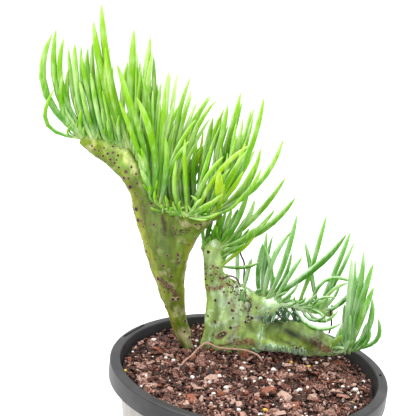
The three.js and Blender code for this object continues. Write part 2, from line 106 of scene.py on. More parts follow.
@dataclass(frozen=True)
class Wash:
    """A soft stroke of one layer along a line on a stem, in millimetres across and up."""

    layer: Layer
    weight: float
    width: float
    line: tuple[Spot, ...]

    def strength(self, points: np.ndarray) -> np.ndarray:
        """How strongly the stroke covers each point.

        Args:
            points: Points in millimetres.

        Returns:
            One value for each point.
        """
        flat = points[:, [0, 2]]
        knots = np.array(self.line, float)
        near = np.linalg.norm(flat - knots[0], axis=1)
        for a, b in zip(knots[:-1], knots[1:]):
            run = b - a
            share = np.clip((flat - a) @ run / (run @ run), 0, 1)
            near = np.minimum(near, np.linalg.norm(flat - a - share[:, None] * run, axis=1))
        return self.weight * np.exp(-((near / self.width) ** 2))


def strokes(layer: Layer, *rows: tuple[float | Spot, ...]) -> tuple[Wash, ...]:
    """Washes of one layer, each from its weight, its width and the points of its line."""
    return tuple(Wash(layer, weight, width, tuple(line)) for weight, width, *line in rows)


@dataclass(frozen=True)
class Crumbs:
    """Dry crumbs that cling to a stem along a line: how many, how far they stray, their size and tone."""

    count: int
    stray: float
    size: float
    tones: Spot
    line: tuple[Spot, ...]
    pale: bool = False


@dataclass(frozen=True)
class Shred:
    """A torn thread of dry skin on a stem, with its thickness and tone."""

    radius: float
    tone: float
    line: tuple[Spot, ...]
    pale: bool = False


# The growing edge of each fan, from left to right, as in the part's source.
TALL_EDGE = np.array(
    [
        (-120, 38, 236), (-108, 38, 236), (-95, 36, 234), (-83, 33, 231), (-76, 29, 219), (-69, 25, 207),
        (-61, 21, 201), (-53, 18, 201), (-45, 17, 201), (-37, 18, 201), (-32, 22, 204), (-29, 30, 203),
        (-34, 38, 199), (-44, 43, 197), (-55, 45, 197), (-66, 44, 200),
    ],
    float,
)
SHORT_EDGE = np.array(
    [
        (-33, 33, 171), (-34, 32, 179), (-30, 31, 186), (-26, 31, 184), (-25, 32, 176), (-25, 33, 167),
        (-18, 34, 153.5), (-12, 34, 156.5), (-6, 34, 153.5), (1, 33, 151), (8, 34, 151.5), (15, 36, 147.5),
        (24, 37, 147.3), (33, 38, 146), (41, 38.5, 144.8), (48, 39, 143.3),
    ],
    float,
)
# Low edge at the right end of the bulge, beside the rim.
RIM_EDGE = np.array([(46, 36, 121), (53, 37, 120), (59, 37.5, 120), (65, 38, 122.8)], float)
STEM_FOOT = 98.0
WING_END = 2.6
TALL_FRONT_END = 9.4
LOBE_END = 5.2
FAN_END = 10.8
STRAND_SHARES = (0.15, 0.45, 0.75, 1.0)
STRAND_RADII = (3.6, 4.6, 5.0, 4.2)
LOBE_RADII = (4.4, 3.4, 3.5, 3.2)

# Picked leaves: place along the edge, tip's reach to the right, up and toward the viewer, bow of the middle to the
# left, girth, shade (0 as the comb, 1 yellow-green, -1 deep green) and how pale the wax makes it.
TALL_LEAVES = (
    (0.3, -17, 30, 8, 29, 2.3, 0, 0.3), (0.4, -22, 62, 6, 28, 3.9, 0, 0.5), (0.5, -22, 64, 2, 18, 3.6, 0, 0.5),
    (0.7, -19, 60, 4, 17, 3.2, 0, 0.5), (0.8, -19, 53, -5, 8, 2.8, 0.1, 0.8), (0.9, -15, 57, 3, 8, 3.6, 0, 0.9),
    (1, -14, 55, -6, 6, 2.4, -0.1, 0.5), (1, -11, 36, 8, 1, 2.8, 0, 1), (1.2, -14, 52, 6, 1, 2.8, 0, 0.5),
    (1.2, -13, 54, -10, 6, 2.8, 0, 1), (1.5, -13, 59, -2, 5, 3, -0.35, 0.2), (1.6, -13, 43, 6, 3, 2.8, 0, 0.9),
    (1.7, -7, 57, -12, 3, 2.6, 0.1, 1), (1.8, -12, 50, 4, 3, 3, -0.1, 0.5), (2, -13, 39, 2, -3, 2.6, 0, 0.9),
    (2.1, -9, 47, -12, 6, 2.6, 0, 0.9), (2.6, -26, 75, 4, 7, 4.2, 0.1, 0.3), (2.6, -6, 52, -10, 7, 3.2, 0.1, 0.8),
    (2.8, -25, 86, 0, 8, 4, 0.15, 0.35), (2.8, -5, 73, -2, 2, 4, 0.1, 0.45), (3.1, -6, 62, -8, -1, 2.6, 0, 1),
    (3.2, -4, 58, -6, 0, 2.6, 0, 0.8), (3.5, -3, 68, -10, 2, 3, 0.1, 1), (4.2, -5, 86, -4, 3, 3.9, 0.15, 0.6),
    (4.4, -8, 66, 4, -5, 3.6, -0.4, 0.2), (4.6, -5, 80, -6, -3, 3, -0.5, 0.2), (4.6, -7, 25, 12, -4, 3, 0, 1),
    (4.6, -3, 61, 0, -2, 2.2, 0, 1), (4.6, -24, 75, 8, -3, 3.9, 0.1, 0.35), (4.8, -21, 69, 12, -5, 3.6, 0.05, 0.4),
    (4.9, -7, 19, 10, -2, 2.6, 0, 1), (5, -13, 63, 14, -11, 3.9, 0.1, 0.4), (5, -2, 70, -8, 2, 3, -0.1, 0.8),
    (5.4, -1, 72, 4, 0, 3.3, 0.15, 0.4), (5.6, 1, 46, 12, -4, 3.6, 0, 0.6), (5.6, 15, 45, 8, 6, 3, 0, 0.6),
    (5.6, 17, 57, 4, 7, 3, 0.1, 0.6), (5.8, -4, 14, 10, 4, 2.2, 0.3, 0.5), (5.9, 8, 7, 10, -2, 2, 0.4, 0.5),
    (7.6, -7, 36, 12, 7, 2.8, 0.2, 0.4), (7.6, -3, 50, 14, 1, 2.8, 0.25, 0.4), (7.8, 16, 16, 14, 0, 2.6, 0.2, 0.4),
    (8, 18, 10, 16, -5, 2.4, 0.1, 0.4), (8.1, 18, 21, 16, -1, 2.8, 0.1, 0.4), (8.1, 8, 46, 4, 1, 3.2, 0, 0.4),
    (8.3, -3, 15, 6, -6, 2.2, 0, 0.9), (8.3, 28, 50, 12, 10, 3.2, 0.5, 0.3), (8.3, 14, 41, 8, 9, 3, 0.2, 0.5),
    (9.6, 18, 43, 6, 2, 3, 0.1, 0.4), (9.6, 24, 74, 2, -10, 3.9, 0, 0.4), (9.7, 16, 46, 4, -4, 3, 0.5, 0.3),
    (9.7, 27, 33, 6, -10, 3, 0.1, 0.5), (9.8, 37, 50, 0, -15, 3.7, 0, 0.35), (9.9, 21, 42, 2, -2, 3, 0.1, 0.6),
    (10.4, 1, 33, 34, 0, 4.4, 1.0, 0), (10.4, 20, 33, 0, -6, 3, 0.2, 0.4), (10.4, 22, 41, -4, -11, 3, 0.1, 0.4),
    (10.4, 7, 47, -4, 0, 2.8, 0, 0.5), (10.5, 9, 57, -10, -4, 2.8, -0.2, 1), (12, 10, 76, -2, 1, 3.8, 0, 0.4),
    (12.2, 5, 66, -2, 2, 3.6, 0.1, 0.5), (12.6, 7, 66, -2, 9, 3, 0.1, 0.5), (13, 5, 61, 0, 0, 3.6, -0.4, 0.2),
    (13.2, 8, 71, -2, 19, 3.2, 0.1, 0.6), (13.6, 8, 73, -4, 17, 2.8, 0, 0.5), (13.8, 3, 68, -4, 13, 3, 0.1, 1.4),
    (14, 1, 75, -6, 9, 2.8, 0.3, 1.4), (14.2, 2, 82, -2, 10, 3.2, 0.1, 0.7), (14.4, -4, 83, -6, 6, 3, 0.4, 1.5),
    (14.6, 17, 51, -2, -12, 1.9, 1, 0.3), (14.6, 1, 63, 2, 10, 3.2, 0, 0.7), (14.6, -7, 83, -4, 5, 4, 0.4, 1.5),
    (14.8, 1, 65, 4, 9, 3.2, 0.4, 1.5),
)
UPPER_LEAVES = (
    (0.9, -1, 19, 8, 4, 2, 0, 0.6), (1.4, 0, 20, 2, 0, 2.8, -0.4, 0.2), (1.8, 2, 18, 6, -2, 2.2, -0.2, 0.3),
    (2.8, 2, 18, 0, 3, 2.6, 0, 0.4), (2.9, 5, 21, 2, 1, 2.8, 0, 0.9), (3.1, 8, 22, -2, -1, 2.6, -0.5, 0.2),
    (3.2, 13, 34, 0, -4, 3.4, 0, 0.4), (3.2, 34, 47, 4, -6, 3, 0.1, 0.5), (3.4, 17, 32, 2, -7, 3, -0.1, 0.9),
    (3.4, 41, 37, 4, -11, 3.3, 0, 0.6), (4.7, 3, 10, 0, 7, 2.4, -0.2, 0.8), (4.8, 9, 13, 2, 3, 2.2, 0, 0.6),
    (5, 20, 27, 6, -2, 2.3, 0.4, 0.4), (5, 24, 9, 8, -4, 2.1, -0.6, 0.2),
)
LOW_LEAVES = (
    (6.9, -2, 23, -4, 1, 2.4, 0, 0.9), (7.5, 3, 19, -2, 0, 2.6, 0, 0.8), (9, -8, 8, 6, 15, 2.4, -0.4, 0.2),
    (9.1, -2, 36, 4, 4, 2.9, -0.6, 0.1), (9.3, -2, 40, -8, 1, 2.6, 0, 0.9), (9.3, 2, 39, -4, 2, 2.2, -0.4, 0.3),
    (9.4, 12, 44, 0, 7, 3, 0, 1), (9.7, 12, 55, 2, -5, 3.1, 0, 0.6), (9.9, -7, 34, 4, -6, 2.3, -0.1, 0.4),
    (10.2, 39, 49, 8, -7, 3.7, -0.6, 0.2), (10.4, 14, 30, 0, 1, 2.7, 0, 0.8), (11.9, 30, -3, 12, -18, 2.3, -0.1, 0.5),
    (12.2, 10, 60, 0, -2, 2.8, 0.1, 0.5), (12.3, 17, 1, 10, -16, 2, -0.6, 0.2), (12.5, 22, 4, 8, -19, 2, -0.1, 0.4),
    (12.8, 13, -4, 10, 5, 1.9, 0, 0.4), (13, 28, 19, 0, 23, 2.3, -0.1, 0.4), (13.6, -13, 42, -4, 0, 2.6, -0.2, 0.4),
    (13.7, 16, 21, 2, 7, 2.2, 0.3, 0.4), (13.7, 13, 53, -2, -1, 3, 0, 0.5), (13.9, 15, 46, -6, -1, 2.3, 0, 0.8),
    (14.3, 19, 33, -4, -10, 3, -0.5, 0.4),
)
RIM_LEAVES = (
    (0.5, 9, 5, 8, 4, 2.2, 0.2, 0.4), (0.6, 4, 15, 10, 1, 2.6, 0.6, 0.4), (0.7, 5, 24, 0, 1, 2.4, 0, 0.9),
    (0.8, 7, 13, 12, -5, 2.2, 0, 0.9), (1.6, -3, 65, 8, -2, 3.3, 0, 0.9), (1.8, -2, 64, 5, -4, 2.2, 0, 0.7),
    (2, 1, 70, 9, -3, 3.3, 0, 0.5), (2.3, 6, 63, 10, 2, 3.8, 0, 0.5), (2.5, 7, 48, 12, 0, 3.6, 0, 0.5),
    (2.6, 7, 38, 6, -9, 3.4, -0.2, 0.4), (3, 10, 24, 4, -15, 2.6, -0.3, 0.3),
)


class Draw:
    """Even random numbers that are the same on every run."""

    def __init__(self, seed: int) -> None:
        """Starts the row of numbers at a seed."""
        self.state = seed

    def unit(self) -> float:
        """Next number from 0 to 1."""
        self.state = (self.state * 1664525 + 1013904223) % 2**32
        return self.state / 2**32

    def between(self, low: float, high: float) -> float:
        """Next number from low to high."""
        return low + (high - low) * self.unit()


def mix(a: float, b: float, share: float) -> float:
    """Number at a share of the way from a to b."""
    return a + (b - a) * share


def polar(distance: float, angle: float, height: float) -> Place:
    """Point at a distance and an angle round the pot's axis."""
    return (distance * math.cos(angle), distance * math.sin(angle), height)


def turns(count: int) -> np.ndarray:
    """Even angles round a full turn."""
    return np.arange(count) / count * 2 * math.pi


def unit(vector: np.ndarray) -> np.ndarray:
    """The same directions with length one."""
    return vector / np.maximum(np.linalg.norm(vector, axis=-1, keepdims=True), 1e-9)


def along(edge: np.ndarray, place: float) -> np.ndarray:
    """Point at a place along an edge, on a smooth curve through its points.

    Args:
        edge: The edge's points, one a row.
        place: Place counted in edge points, so 2 is the third point.

    Returns:
        The point.
    """
    last = len(edge) - 1
    place = min(max(place, 0.0), float(last))
    i = min(int(place), last - 1)
    t = place - i
    p1, p2 = edge[i], edge[i + 1]
    p0 = edge[i - 1] if i > 0 else 2 * p1 - p2
    p3 = edge[i + 2] if i + 2 <= last else 2 * p2 - p1
    lead, trail = (p2 - p0) / 2, (p3 - p1) / 2
    near = (2 * t**3 - 3 * t**2 + 1) * p1 + (t**3 - 2 * t**2 + t) * lead
    return near + (3 * t**2 - 2 * t**3) * p2 + (t**3 - t**2) * trail


def smooth_path(points: Sequence[Sequence[float]], count: int) -> np.ndarray:
    """Even places along a smooth curve through points."""
    knots = np.array(points, float)
    return np.array([along(knots, place) for place in np.linspace(0, len(knots) - 1, count)])


@dataclass(frozen=True)
class Strand:
    """One line of growth through a stem, as a cubic curve."""

    controls: np.ndarray

    def at(self, share: float) -> np.ndarray:
        """Point at a share of the strand's length."""
        rest = 1 - share
        return np.array([rest**3, 3 * rest**2 * share, 3 * rest * share**2, share**3]) @ self.controls

    def rise(self, share: float) -> np.ndarray:
        """Direction of growth at a share of the strand's length."""
        rest = 1 - share
        return unit(np.array([rest**2, 2 * rest * share, share**2]) @ np.diff(self.controls, axis=0))


def tall_strand(place: float) -> Strand:
    """Strand of the tall stem that ends at a place on its growing edge.

    Args:
        place: Place along the edge.

    Returns:
        The strand, from foot to edge.
    """
    end = along(TALL_EDGE, place)
    if place < WING_END:
        inward = place / WING_END
        high = end + (mix(9, 2, inward), 0, mix(-6, -10, inward))
        return Strand(np.array([(-70, 31, 178), (-79, 33, 229), high, end]))
    foot = (mix(-32, -31, place / 15), 28, STEM_FOOT)
    level = max(190.0, end[2] - 25) if place > TALL_FRONT_END else 190.0
    high = (min(-29 + 0.58 * end[0], -54.0), mix(28, end[1], 0.6), level)
    return Strand(np.array([foot, (-58, 29, 150), high, end]))


def short_strand(place: float) -> Strand:
    """Strand of the short stem that ends at a place on its growing edge.

    Args:
        place: Place along the edge.

    Returns:
        The strand, from foot to edge.
    """
    end = along(SHORT_EDGE, place)
    if place < LOBE_END:
        foot = (mix(-34, -21, place / LOBE_END), 38, STEM_FOOT)
        return Strand(np.array([foot, (-24, 37, 126), (-27, 34, 152), end]))
    share = (place - LOBE_END) / (FAN_END - LOBE_END)
    foot = np.array([mix(-22, -3, share), mix(36, 37, share), STEM_FOOT])
    low = foot + (end - foot) * 0.22 + (0, 0, 12)
    high = foot + (end - foot) * 0.6 + (0, 0, 12 - 6 * share)
    return Strand(np.array([foot, low, high, end]))


def tall_growth(place: float) -> np.ndarray:
    """Direction in which the tall stem's edge grows: on along its strands."""
    return tall_strand(place).rise(1)


def edge_growth(edge: np.ndarray) -> Callable[[float], np.ndarray]:
    """Direction in which an edge of the short stem grows at each place: square to the edge.

    Args:
        edge: The edge's points, one a row.

    Returns:
        A function that gives the direction at a place.
    """

    def growth(place: float) -> np.ndarray:
        """Direction of growth at one place."""
        run = along(edge, place + 0.4) - along(edge, place - 0.4)
        return unit(np.array([-run[2], 0, run[0]]))

    return growth


class Sketch:
    """Collects the points, faces and tones of a piece before it is made."""

    def __init__(self) -> None:
        """Starts with nothing drawn."""
        self.points: list[np.ndarray] = []
        self.tones: list[np.ndarray] = []
        self.faces: list[tuple[int, ...]] = []
        self.count = 0

    def add(self, points: np.ndarray, faces: Iterable[Sequence[int]], tones: np.ndarray | Tone) -> None:
        """Adds a body.

        Args:
            points: Its points, one a row.
            faces: Its faces, as numbers of its own points.
            tones: One tone for all its points, or a row for each.
        """
        self.points.append(points)
        self.tones.append(np.broadcast_to(np.array(tones, float), (len(points), 4)))
        self.faces.extend(tuple(self.count + n for n in face) for face in faces)
        self.count += len(points)

    def rings(self, rings: np.ndarray, tones: np.ndarray | Tone, poles: tuple[np.ndarray, np.ndarray]) -> None:
        """Adds a body skinned over equal rings, with a point at each end.

        Args:
            rings: Points by ring and side.
            tones: One tone, a row for each ring, or a row for each ring and side.
            poles: The point before the first ring and the one after the last.
        """
        rows, sides = rings.shape[:2]
        pairs = [(i, (i + 1) % sides) for i in range(sides)]
        last, low = (rows - 1) * sides, rows * sides
        faces: list[tuple[int, ...]] = []
        for r in range(0, last, sides):
            faces += [(r + i, r + j, r + sides + j, r + sides + i) for i, j in pairs]
        for i, j in pairs:
            faces += [(low, j, i), (low + 1, last + i, last + j)]
        points = np.vstack([rings.reshape(-1, 3), poles[0], poles[1]])
        shades = np.array(tones, float)
        if shades.ndim == 2:
            shades = np.repeat(shades[:, None], sides, axis=1)
        if shades.ndim == 3:
            shades = np.vstack([shades.reshape(-1, 4), shades[0].mean(axis=0), shades[-1].mean(axis=0)])
        self.add(points, faces, shades)

    def tube(
        self,
        spine: np.ndarray,
        radii: np.ndarray,
        sides: int,
        sideways: np.ndarray,
        tones: np.ndarray | Tone = PLAIN,
        flat: float = 1.0,
    ) -> None:
        """Adds a round tube with rounded ends along a spine.

        Args:
            spine: Points down the middle.
            radii: Radius at each.
            sides: Faces around it.
            sideways: Direction of its first side, or one for each point.
            tones: One tone, or a row for each point.
            flat: Thickness as a share of the width.
        """
        run = unit(np.gradient(spine, axis=0))
        side = np.broadcast_to(sideways, spine.shape)
        x = unit(side - np.sum(side * run, axis=1, keepdims=True) * run)
        y = np.cross(run, x)
        turn = turns(sides)
        offset = np.cos(turn)[None, :, None] * x[:, None] + flat * np.sin(turn)[None, :, None] * y[:, None]
        rings = spine[:, None] + offset * np.asarray(radii, float)[:, None, None]
        poles = (spine[0] - run[0] * radii[0] * 0.5, spine[-1] + run[-1] * radii[-1] * 0.5)
        self.rings(rings, tones, poles)

    def mesh(self, name: str) -> bpy.types.Mesh:
        """Mesh of everything drawn, in metres, with its faces outward.

        Args:
            name: The mesh's name.

        Returns:
            The mesh.
        """
        mesh = bpy.data.meshes.new(name)
        mesh.from_pydata((np.vstack(self.points) * METRES).tolist(), [], self.faces)
        layer = mesh.color_attributes.new(TONE, "FLOAT_COLOR", "POINT")
        layer.data.foreach_set("color", np.vstack(self.tones).astype(np.float32).ravel())
        work = bmesh.new()
        work.from_mesh(mesh)
        bmesh.ops.recalc_face_normals(work, faces=work.faces)
        work.to_mesh(mesh)
        work.free()
        return mesh


def placed(name: str, data: bpy.types.ID) -> bpy.types.Object:
    """Makes an object and puts it in the scene.

    Args:
        name: The object's name.
        data: Its mesh, light or camera.

    Returns:
        The object.
    """
    made = bpy.data.objects.new(name, data)
    bpy.context.scene.collection.objects.link(made)
    return made


def finished(name: str, mesh: bpy.types.Mesh, finish: "Finish", shading: Shading) -> bpy.types.Object:
    """Makes a mesh into an object with its finish.

    Args:
        name: The object's name.
        mesh: Its mesh, in metres.
        finish: Its finish.
        shading: How its faces are shaded.

    Returns:
        The object, linked to the scene.
    """
    mesh.materials.clear()
    mesh.materials.append(finish.material())
    mesh.shade_flat() if shading is Shading.FACETED else mesh.shade_smooth()
    if shading is Shading.CREASED:
        mesh.set_sharp_from_angle(angle=math.radians(CREASE_ANGLE))
    return placed(name, mesh)


def dress(
    name: str,
    body: Sketch | bpy.types.Mesh,
    finish: "Finish",
    slot: Slot,
    *nodes: str,
    shading: Shading = Shading.SMOOTH,
) -> bpy.types.Object:
    """Makes a piece with its finish, hangs it on the body that it rides on, hides the nodes that it takes the place of,
    and reports it.

    Args:
        name: The piece's name.
        body: What was drawn, or its mesh in metres.
        finish: Its finish.
        slot: Not used.
        nodes: The nodes that it takes the place of.
        shading: How its faces are shaded.

    Returns:
        The piece.
    """
    piece = finished(name, body.mesh(name) if isinstance(body, Sketch) else body, finish, shading)
    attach(piece, BODY)
    if nodes:
        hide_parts(*nodes)
    LOG.info("%s: %d faces", piece.name, len(piece.data.polygons))
    return piece


def with_modifiers(mesh: bpy.types.Mesh, modifiers: Sequence[tuple[str, dict[str, object]]]) -> bpy.types.Mesh:
    """Mesh after modifiers.

    Args:
        mesh: The mesh to start from, which is removed.
        modifiers: Kind and settings of each modifier, in order.

    Returns:
        A new mesh.
    """
    body = placed("in_work", mesh)
    for kind, settings in modifiers:
        modifier = body.modifiers.new(kind.lower(), kind)
        for key, value in settings.items():
            setattr(modifier, key, value)
    graph = bpy.context.evaluated_depsgraph_get()
    made = bpy.data.meshes.new_from_object(body.evaluated_get(graph))
    bpy.data.objects.remove(body)
    bpy.data.meshes.remove(mesh)
    return made


def triples(items: bpy.types.bpy_prop_collection, key: str) -> np.ndarray:
    """Three numbers of each item of a mesh.

    Args:
        items: The mesh's points or normals.
        key: Name of the numbers.

    Returns:
        One row for each item.
    """
    flat = np.empty(len(items) * 3, np.float32)
    items.foreach_get(key, flat)
    return flat.reshape(-1, 3).astype(float)


def points_of(mesh: bpy.types.Mesh) -> np.ndarray:
    """A mesh's points in millimetres."""
    return triples(mesh.vertices, "co") / METRES


def normals_of(mesh: bpy.types.Mesh) -> np.ndarray:
    """A mesh's normals at its points."""
    return triples(mesh.vertex_normals, "vector")


def clearance(tree: BVHTree, place: Sequence[float]) -> float:
    """Distance from a place to the nearest skin in a search tree."""
    hit, _, _, distance = tree.find_nearest(Vector(place))
    return math.inf if hit is None else distance


def uneven(points: np.ndarray, grain: Sequence[float], seed: float) -> np.ndarray:
    """Smooth random value from about -1 to 1 at each point.

    Args:
        points: Points in millimetres.
        grain: Size of the lumps along X, Y and Z.
        seed: Shift that gives another pattern.

    Returns:
        One value for each point.
    """
    scaled = points / np.array(grain, float) + seed
    return np.array([noise.noise(Vector(row)) for row in scaled]) * 1.6


def srgb(value: str) -> Tone:
    """Linear colour of an sRGB hex value.

    Args:
        value: The colour, as #rrggbb.

    Returns:
        Red, green, blue and full alpha.
    """
    parts = [int(value[i : i + 2], 16) / 255 for i in (1, 3, 5)]
    linear = [c / 12.92 if c <= 0.04045 else ((c + 0.055) / 1.055) ** 2.4 for c in parts]
    return (linear[0], linear[1], linear[2], 1.0)


def lumps(size: float) -> float:
    """Noise scale that gives lumps of a size in millimetres."""
    return 1 / (size * METRES)


def add_node(
    tree: Tree,
    kind: str,
    inputs: Mapping[str | int, object] | Sequence[object] = (),
    stops: Sequence[tuple[float, str]] = (),
    **settings: object,
) -> Node:
    """Adds a node with its settings and links.

    Args:
        tree: The tree it goes into.
        kind: Its Blender type, without the ShaderNode that they all start with.
        inputs: What goes into each input, by name or number or in order: a value, a hex colour, another node's socket,
            or another node for its first output in use. In order, a MapRange takes its value, both ends it comes
            from and both ends it goes to.
        stops: Places and hex colours, for a ramp.
        settings: Its other settings.

    Returns:
        The node.
    """
    node = tree.nodes.new(f"ShaderNode{kind}")
    for key, value in settings.items():
        setattr(node, key, value)
    for i, (place, color) in enumerate(stops):
        ramp = node.color_ramp.elements
        stop = ramp[i] if i < 2 else ramp.new(place)
        stop.position, stop.color = place, srgb(color)
    for key, value in inputs.items() if isinstance(inputs, Mapping) else enumerate(inputs):
        if isinstance(value, Node):
            value = next(socket for socket in value.outputs if socket.enabled)
        if isinstance(value, bpy.types.NodeSocket):
            tree.links.new(value, node.inputs[key])
        else:
            node.inputs[key].default_value = srgb(value) if isinstance(value, str) else value
    return node


@dataclass(frozen=True)
class Finish:
    """What every finish has: a name, values of the shader's own, and a pattern with its relief.

    The relief is its strength, and its depth in millimetres.
    """

    name: str
    values: ClassVar[dict[str, object]] = {}
    relief: ClassVar[Spot] = (0.5, 0.4)

    def material(self) -> bpy.types.Material:
        """The finish as a material, made once.

        Returns:
            The material.
        """
        if self.name in bpy.data.materials:
            return bpy.data.materials[self.name]
        made = bpy.data.materials.new(self.name)
        made.use_nodes = True
        tree = made.node_tree
        tree.nodes.clear()
        color, height = self.pattern(tree)
        sockets = {"Base Color": color, **self.values}
        if height:
            strength, depth = self.relief
            bump = {"Height": height, "Strength": strength, "Distance": depth * METRES}
            sockets["Normal"] = add_node(tree, "Bump", bump)
        shader = add_node(tree, "BsdfPrincipled", sockets)
        add_node(tree, "OutputMaterial", {"Surface": shader})
        return made

    def pattern(self, tree: Tree) -> tuple[Node | str, Node | None]:
        """The finish's colour, and the height of its relief.

        Args:
            tree: The material's tree.

        Returns:
            The colour, and the height of the relief.
        """
        raise NotImplementedError

    def place(self, tree: Tree, stretch: Place = (1, 1, 1)) -> Node:
        """Place on the surface in the part's frame, in metres, stretched along each axis."""
        here = add_node(tree, "TexCoord").outputs["Object"]
        return add_node(tree, "Mapping", {"Vector": here, "Scale": stretch})

    def tone(self, tree: Tree) -> list[bpy.types.NodeSocket]:
        """The four channels of the piece's tone."""
        tone = add_node(tree, "Attribute", attribute_name=TONE)
        return [*add_node(tree, "SeparateColor", (tone.outputs["Color"],)).outputs, tone.outputs["Alpha"]]


@dataclass(frozen=True)
class MouldedPolypropylene(Finish):
    """Injection-moulded polypropylene: charcoal, satin, with fine pits and dull dusty patches, and paler in streaks on
    the wall below the lip.
    """

    body: str = "#2b2b2f"
    dust: str = "#4a4848"
    paler_wall: str = "#b3afa9"
    paler_wall_top: float = 108.5
    paler_wall_fade: float = 1.5
    cloud: float = 22.22
    streak: float = 6.25
    pit: float = 0.6
    values: ClassVar[dict[str, object]] = {"Roughness": 0.42, "Specular IOR Level": 0.35}
    relief: ClassVar[Spot] = (0.12, 0.3)

    def pattern(self, tree: Tree) -> tuple[Node, Node]:
        """Satin plastic whose wall below the lip is paler in streaks.

        Args:
            tree: The material's tree.

        Returns:
            The colour, and the height of the relief.
        """
        here, drawn = self.place(tree), self.place(tree, (1, 1, 0.12))
        clouds = add_node(tree, "TexNoise", {"Vector": here, "Scale": lumps(self.cloud), "Detail": 5.0})
        dusty = add_node(tree, "ValToRGB", (clouds,), ((0.42, self.body), (0.85, self.dust)))
        height = add_node(tree, "SeparateXYZ", (here,)).outputs["Z"]
        edge = (self.paler_wall_top * METRES, (self.paler_wall_top - self.paler_wall_fade) * METRES)
        below = add_node(tree, "MapRange", (height, *edge))
        streaks = add_node(tree, "TexNoise", {"Vector": drawn, "Scale": lumps(self.streak), "Detail": 3.0})
        patchy = add_node(tree, "MapRange", (streaks, 0.2, 0.8, 0.5, 0.95))
        amount = add_node(tree, "Math", (below, patchy), operation="MULTIPLY")
        color = add_node(tree, "Mix", {0: amount, 6: dusty, 7: self.paler_wall}, data_type="RGBA")
        return color, add_node(tree, "TexNoise", {"Vector": here, "Scale": lumps(self.pit), "Detail": 2.0})


@dataclass(frozen=True)
class PineBark(Finish):
    """Composted pine bark: torn reddish-brown flakes, each its own shade, matt with a damp glint.

    The fibres are drawn three times as coarse as real ones, so that they show.
    """

    dark: str = "#120806"
    body: str = "#77493c"
    light: str = "#c2a091"
    rust: str = "#a5593a"
    fibre: float = 0.42
    values: ClassVar[dict[str, object]] = {"Roughness": 0.62, "IOR": 1.45}
    relief: ClassVar[Spot] = (0.5, 0.6)

    def pattern(self, tree: Tree) -> tuple[Node, Node]:
        """Flakes shaded by their tone, with fibres across them.

        Args:
            tree: The material's tree.

        Returns:
            The colour, and the height of the relief.
        """
        shade, rust, *_ = self.tone(tree)
        across = self.place(tree, (1, 1, 2))
        fibres = add_node(tree, "TexNoise", {"Vector": across, "Scale": lumps(3 * self.fibre), "Detail": 6.0})
        lift = add_node(tree, "MapRange", (fibres, 0.3, 0.7, -0.48, 0.42))
        lit = add_node(tree, "Math", (shade, lift), operation="ADD")
        wood = add_node(tree, "ValToRGB", (lit,), ((0.0, self.dark), (0.95, self.light), (0.5, self.body)))
        return add_node(tree, "Mix", {0: rust, 6: wood, 7: self.rust}, data_type="RGBA"), fibres


@dataclass(frozen=True)
class ExpandedGrain(Finish):
    """Expanded perlite or a coated feed granule: chalky and pitted."""

    light: str = "#f6f4f0"
    shaded: str = "#cfcac2"
    pore: float = 0.5
    values: ClassVar[dict[str, object]] = {"Roughness": 0.85}

    def pattern(self, tree: Tree) -> tuple[Node, Node]:
        """Chalky grain with pores.

        Args:
            tree: The material's tree.

        Returns:
            The colour, and the height of the relief.
        """
        pores = add_node(tree, "TexNoise", {"Vector": self.place(tree), "Scale": lumps(self.pore), "Detail": 3.0})
        return add_node(tree, "ValToRGB", (pores,), ((0.3, self.shaded), (0.55, self.light))), pores


@dataclass(frozen=True)
class WaxyLeafSkin(Finish):
    """Living leaf skin under a bloom of wax: clear green that glows at the tip, with a chalky sheen at grazing light.

    The lines are drawn twice as coarse as real ones, so that they show.
    """

    root: str = "#8fae55"
    low: str = "#519636"
    middle: str = "#6cac00"
    tip: str = "#94ce2a"
    bloom_and_highlight: str = "#e0f6b6"
    yellow: str = "#b6dc06"
    deep_green_and_shade: str = "#2f6a04"
    line: float = 0.9
    cloud: float = 11.11
    values: ClassVar[dict[str, object]] = {
        "Roughness": 0.46,
        "IOR": 1.42,
        "Subsurface Weight": 0.22,
        "Subsurface Radius": (0.6, 1.0, 0.25),
        "Subsurface Scale": 0.003,
        "Specular IOR Level": 0.22,
        "Sheen Weight": 0.02,
        "Sheen Roughness": 0.4,
        "Sheen Tint": "#e9ffdc",
    }
    relief: ClassVar[Spot] = (0.18, 0.4)

    def pattern(self, tree: Tree) -> tuple[Node, Node]:
        """Leaf tone from root to tip, yellowed, darkened by dark green and painted shade on the underside, and clouded
        by wax and a painted highlight on the sunny side, with fine lines along the leaf.

        Args:
            tree: The material's tree.

        Returns:
            The colour, and the height of the relief.
        """
        share, pale, yellow, deep_green_and_shade = self.tone(tree)
        stops = ((0.0, self.root), (1.0, self.tip), (0.22, self.low), (0.62, self.middle))
        color = add_node(tree, "ValToRGB", (share,), stops)
        lengthwise = self.place(tree, (1, 1, 0.16))
        lines = add_node(tree, "TexNoise", {"Vector": lengthwise, "Scale": lumps(2 * self.line), "Detail": 4.0})
        clouds = add_node(tree, "TexNoise", {"Vector": self.place(tree), "Scale": lumps(self.cloud), "Detail": 3.0})
        wax = add_node(tree, "Math", (lines, clouds), operation="ADD")
        waxy = add_node(tree, "Math", (wax, pale), operation="ADD")
        bloom_and_highlight = add_node(tree, "MapRange", (waxy, 1.02, 1.95, 0.0, 0.92))
        # The yellow and the dark green are the leaf's own; the dark green also carries painted shade on the underside,
        # and the pale wax carries a painted highlight on the sunny side.
        for amount, shade in ((yellow, self.yellow), (deep_green_and_shade, self.deep_green_and_shade), (bloom_and_highlight, self.bloom_and_highlight)):
            color = add_node(tree, "Mix", {0: amount, 6: color, 7: shade}, data_type="RGBA")
        return color, lines


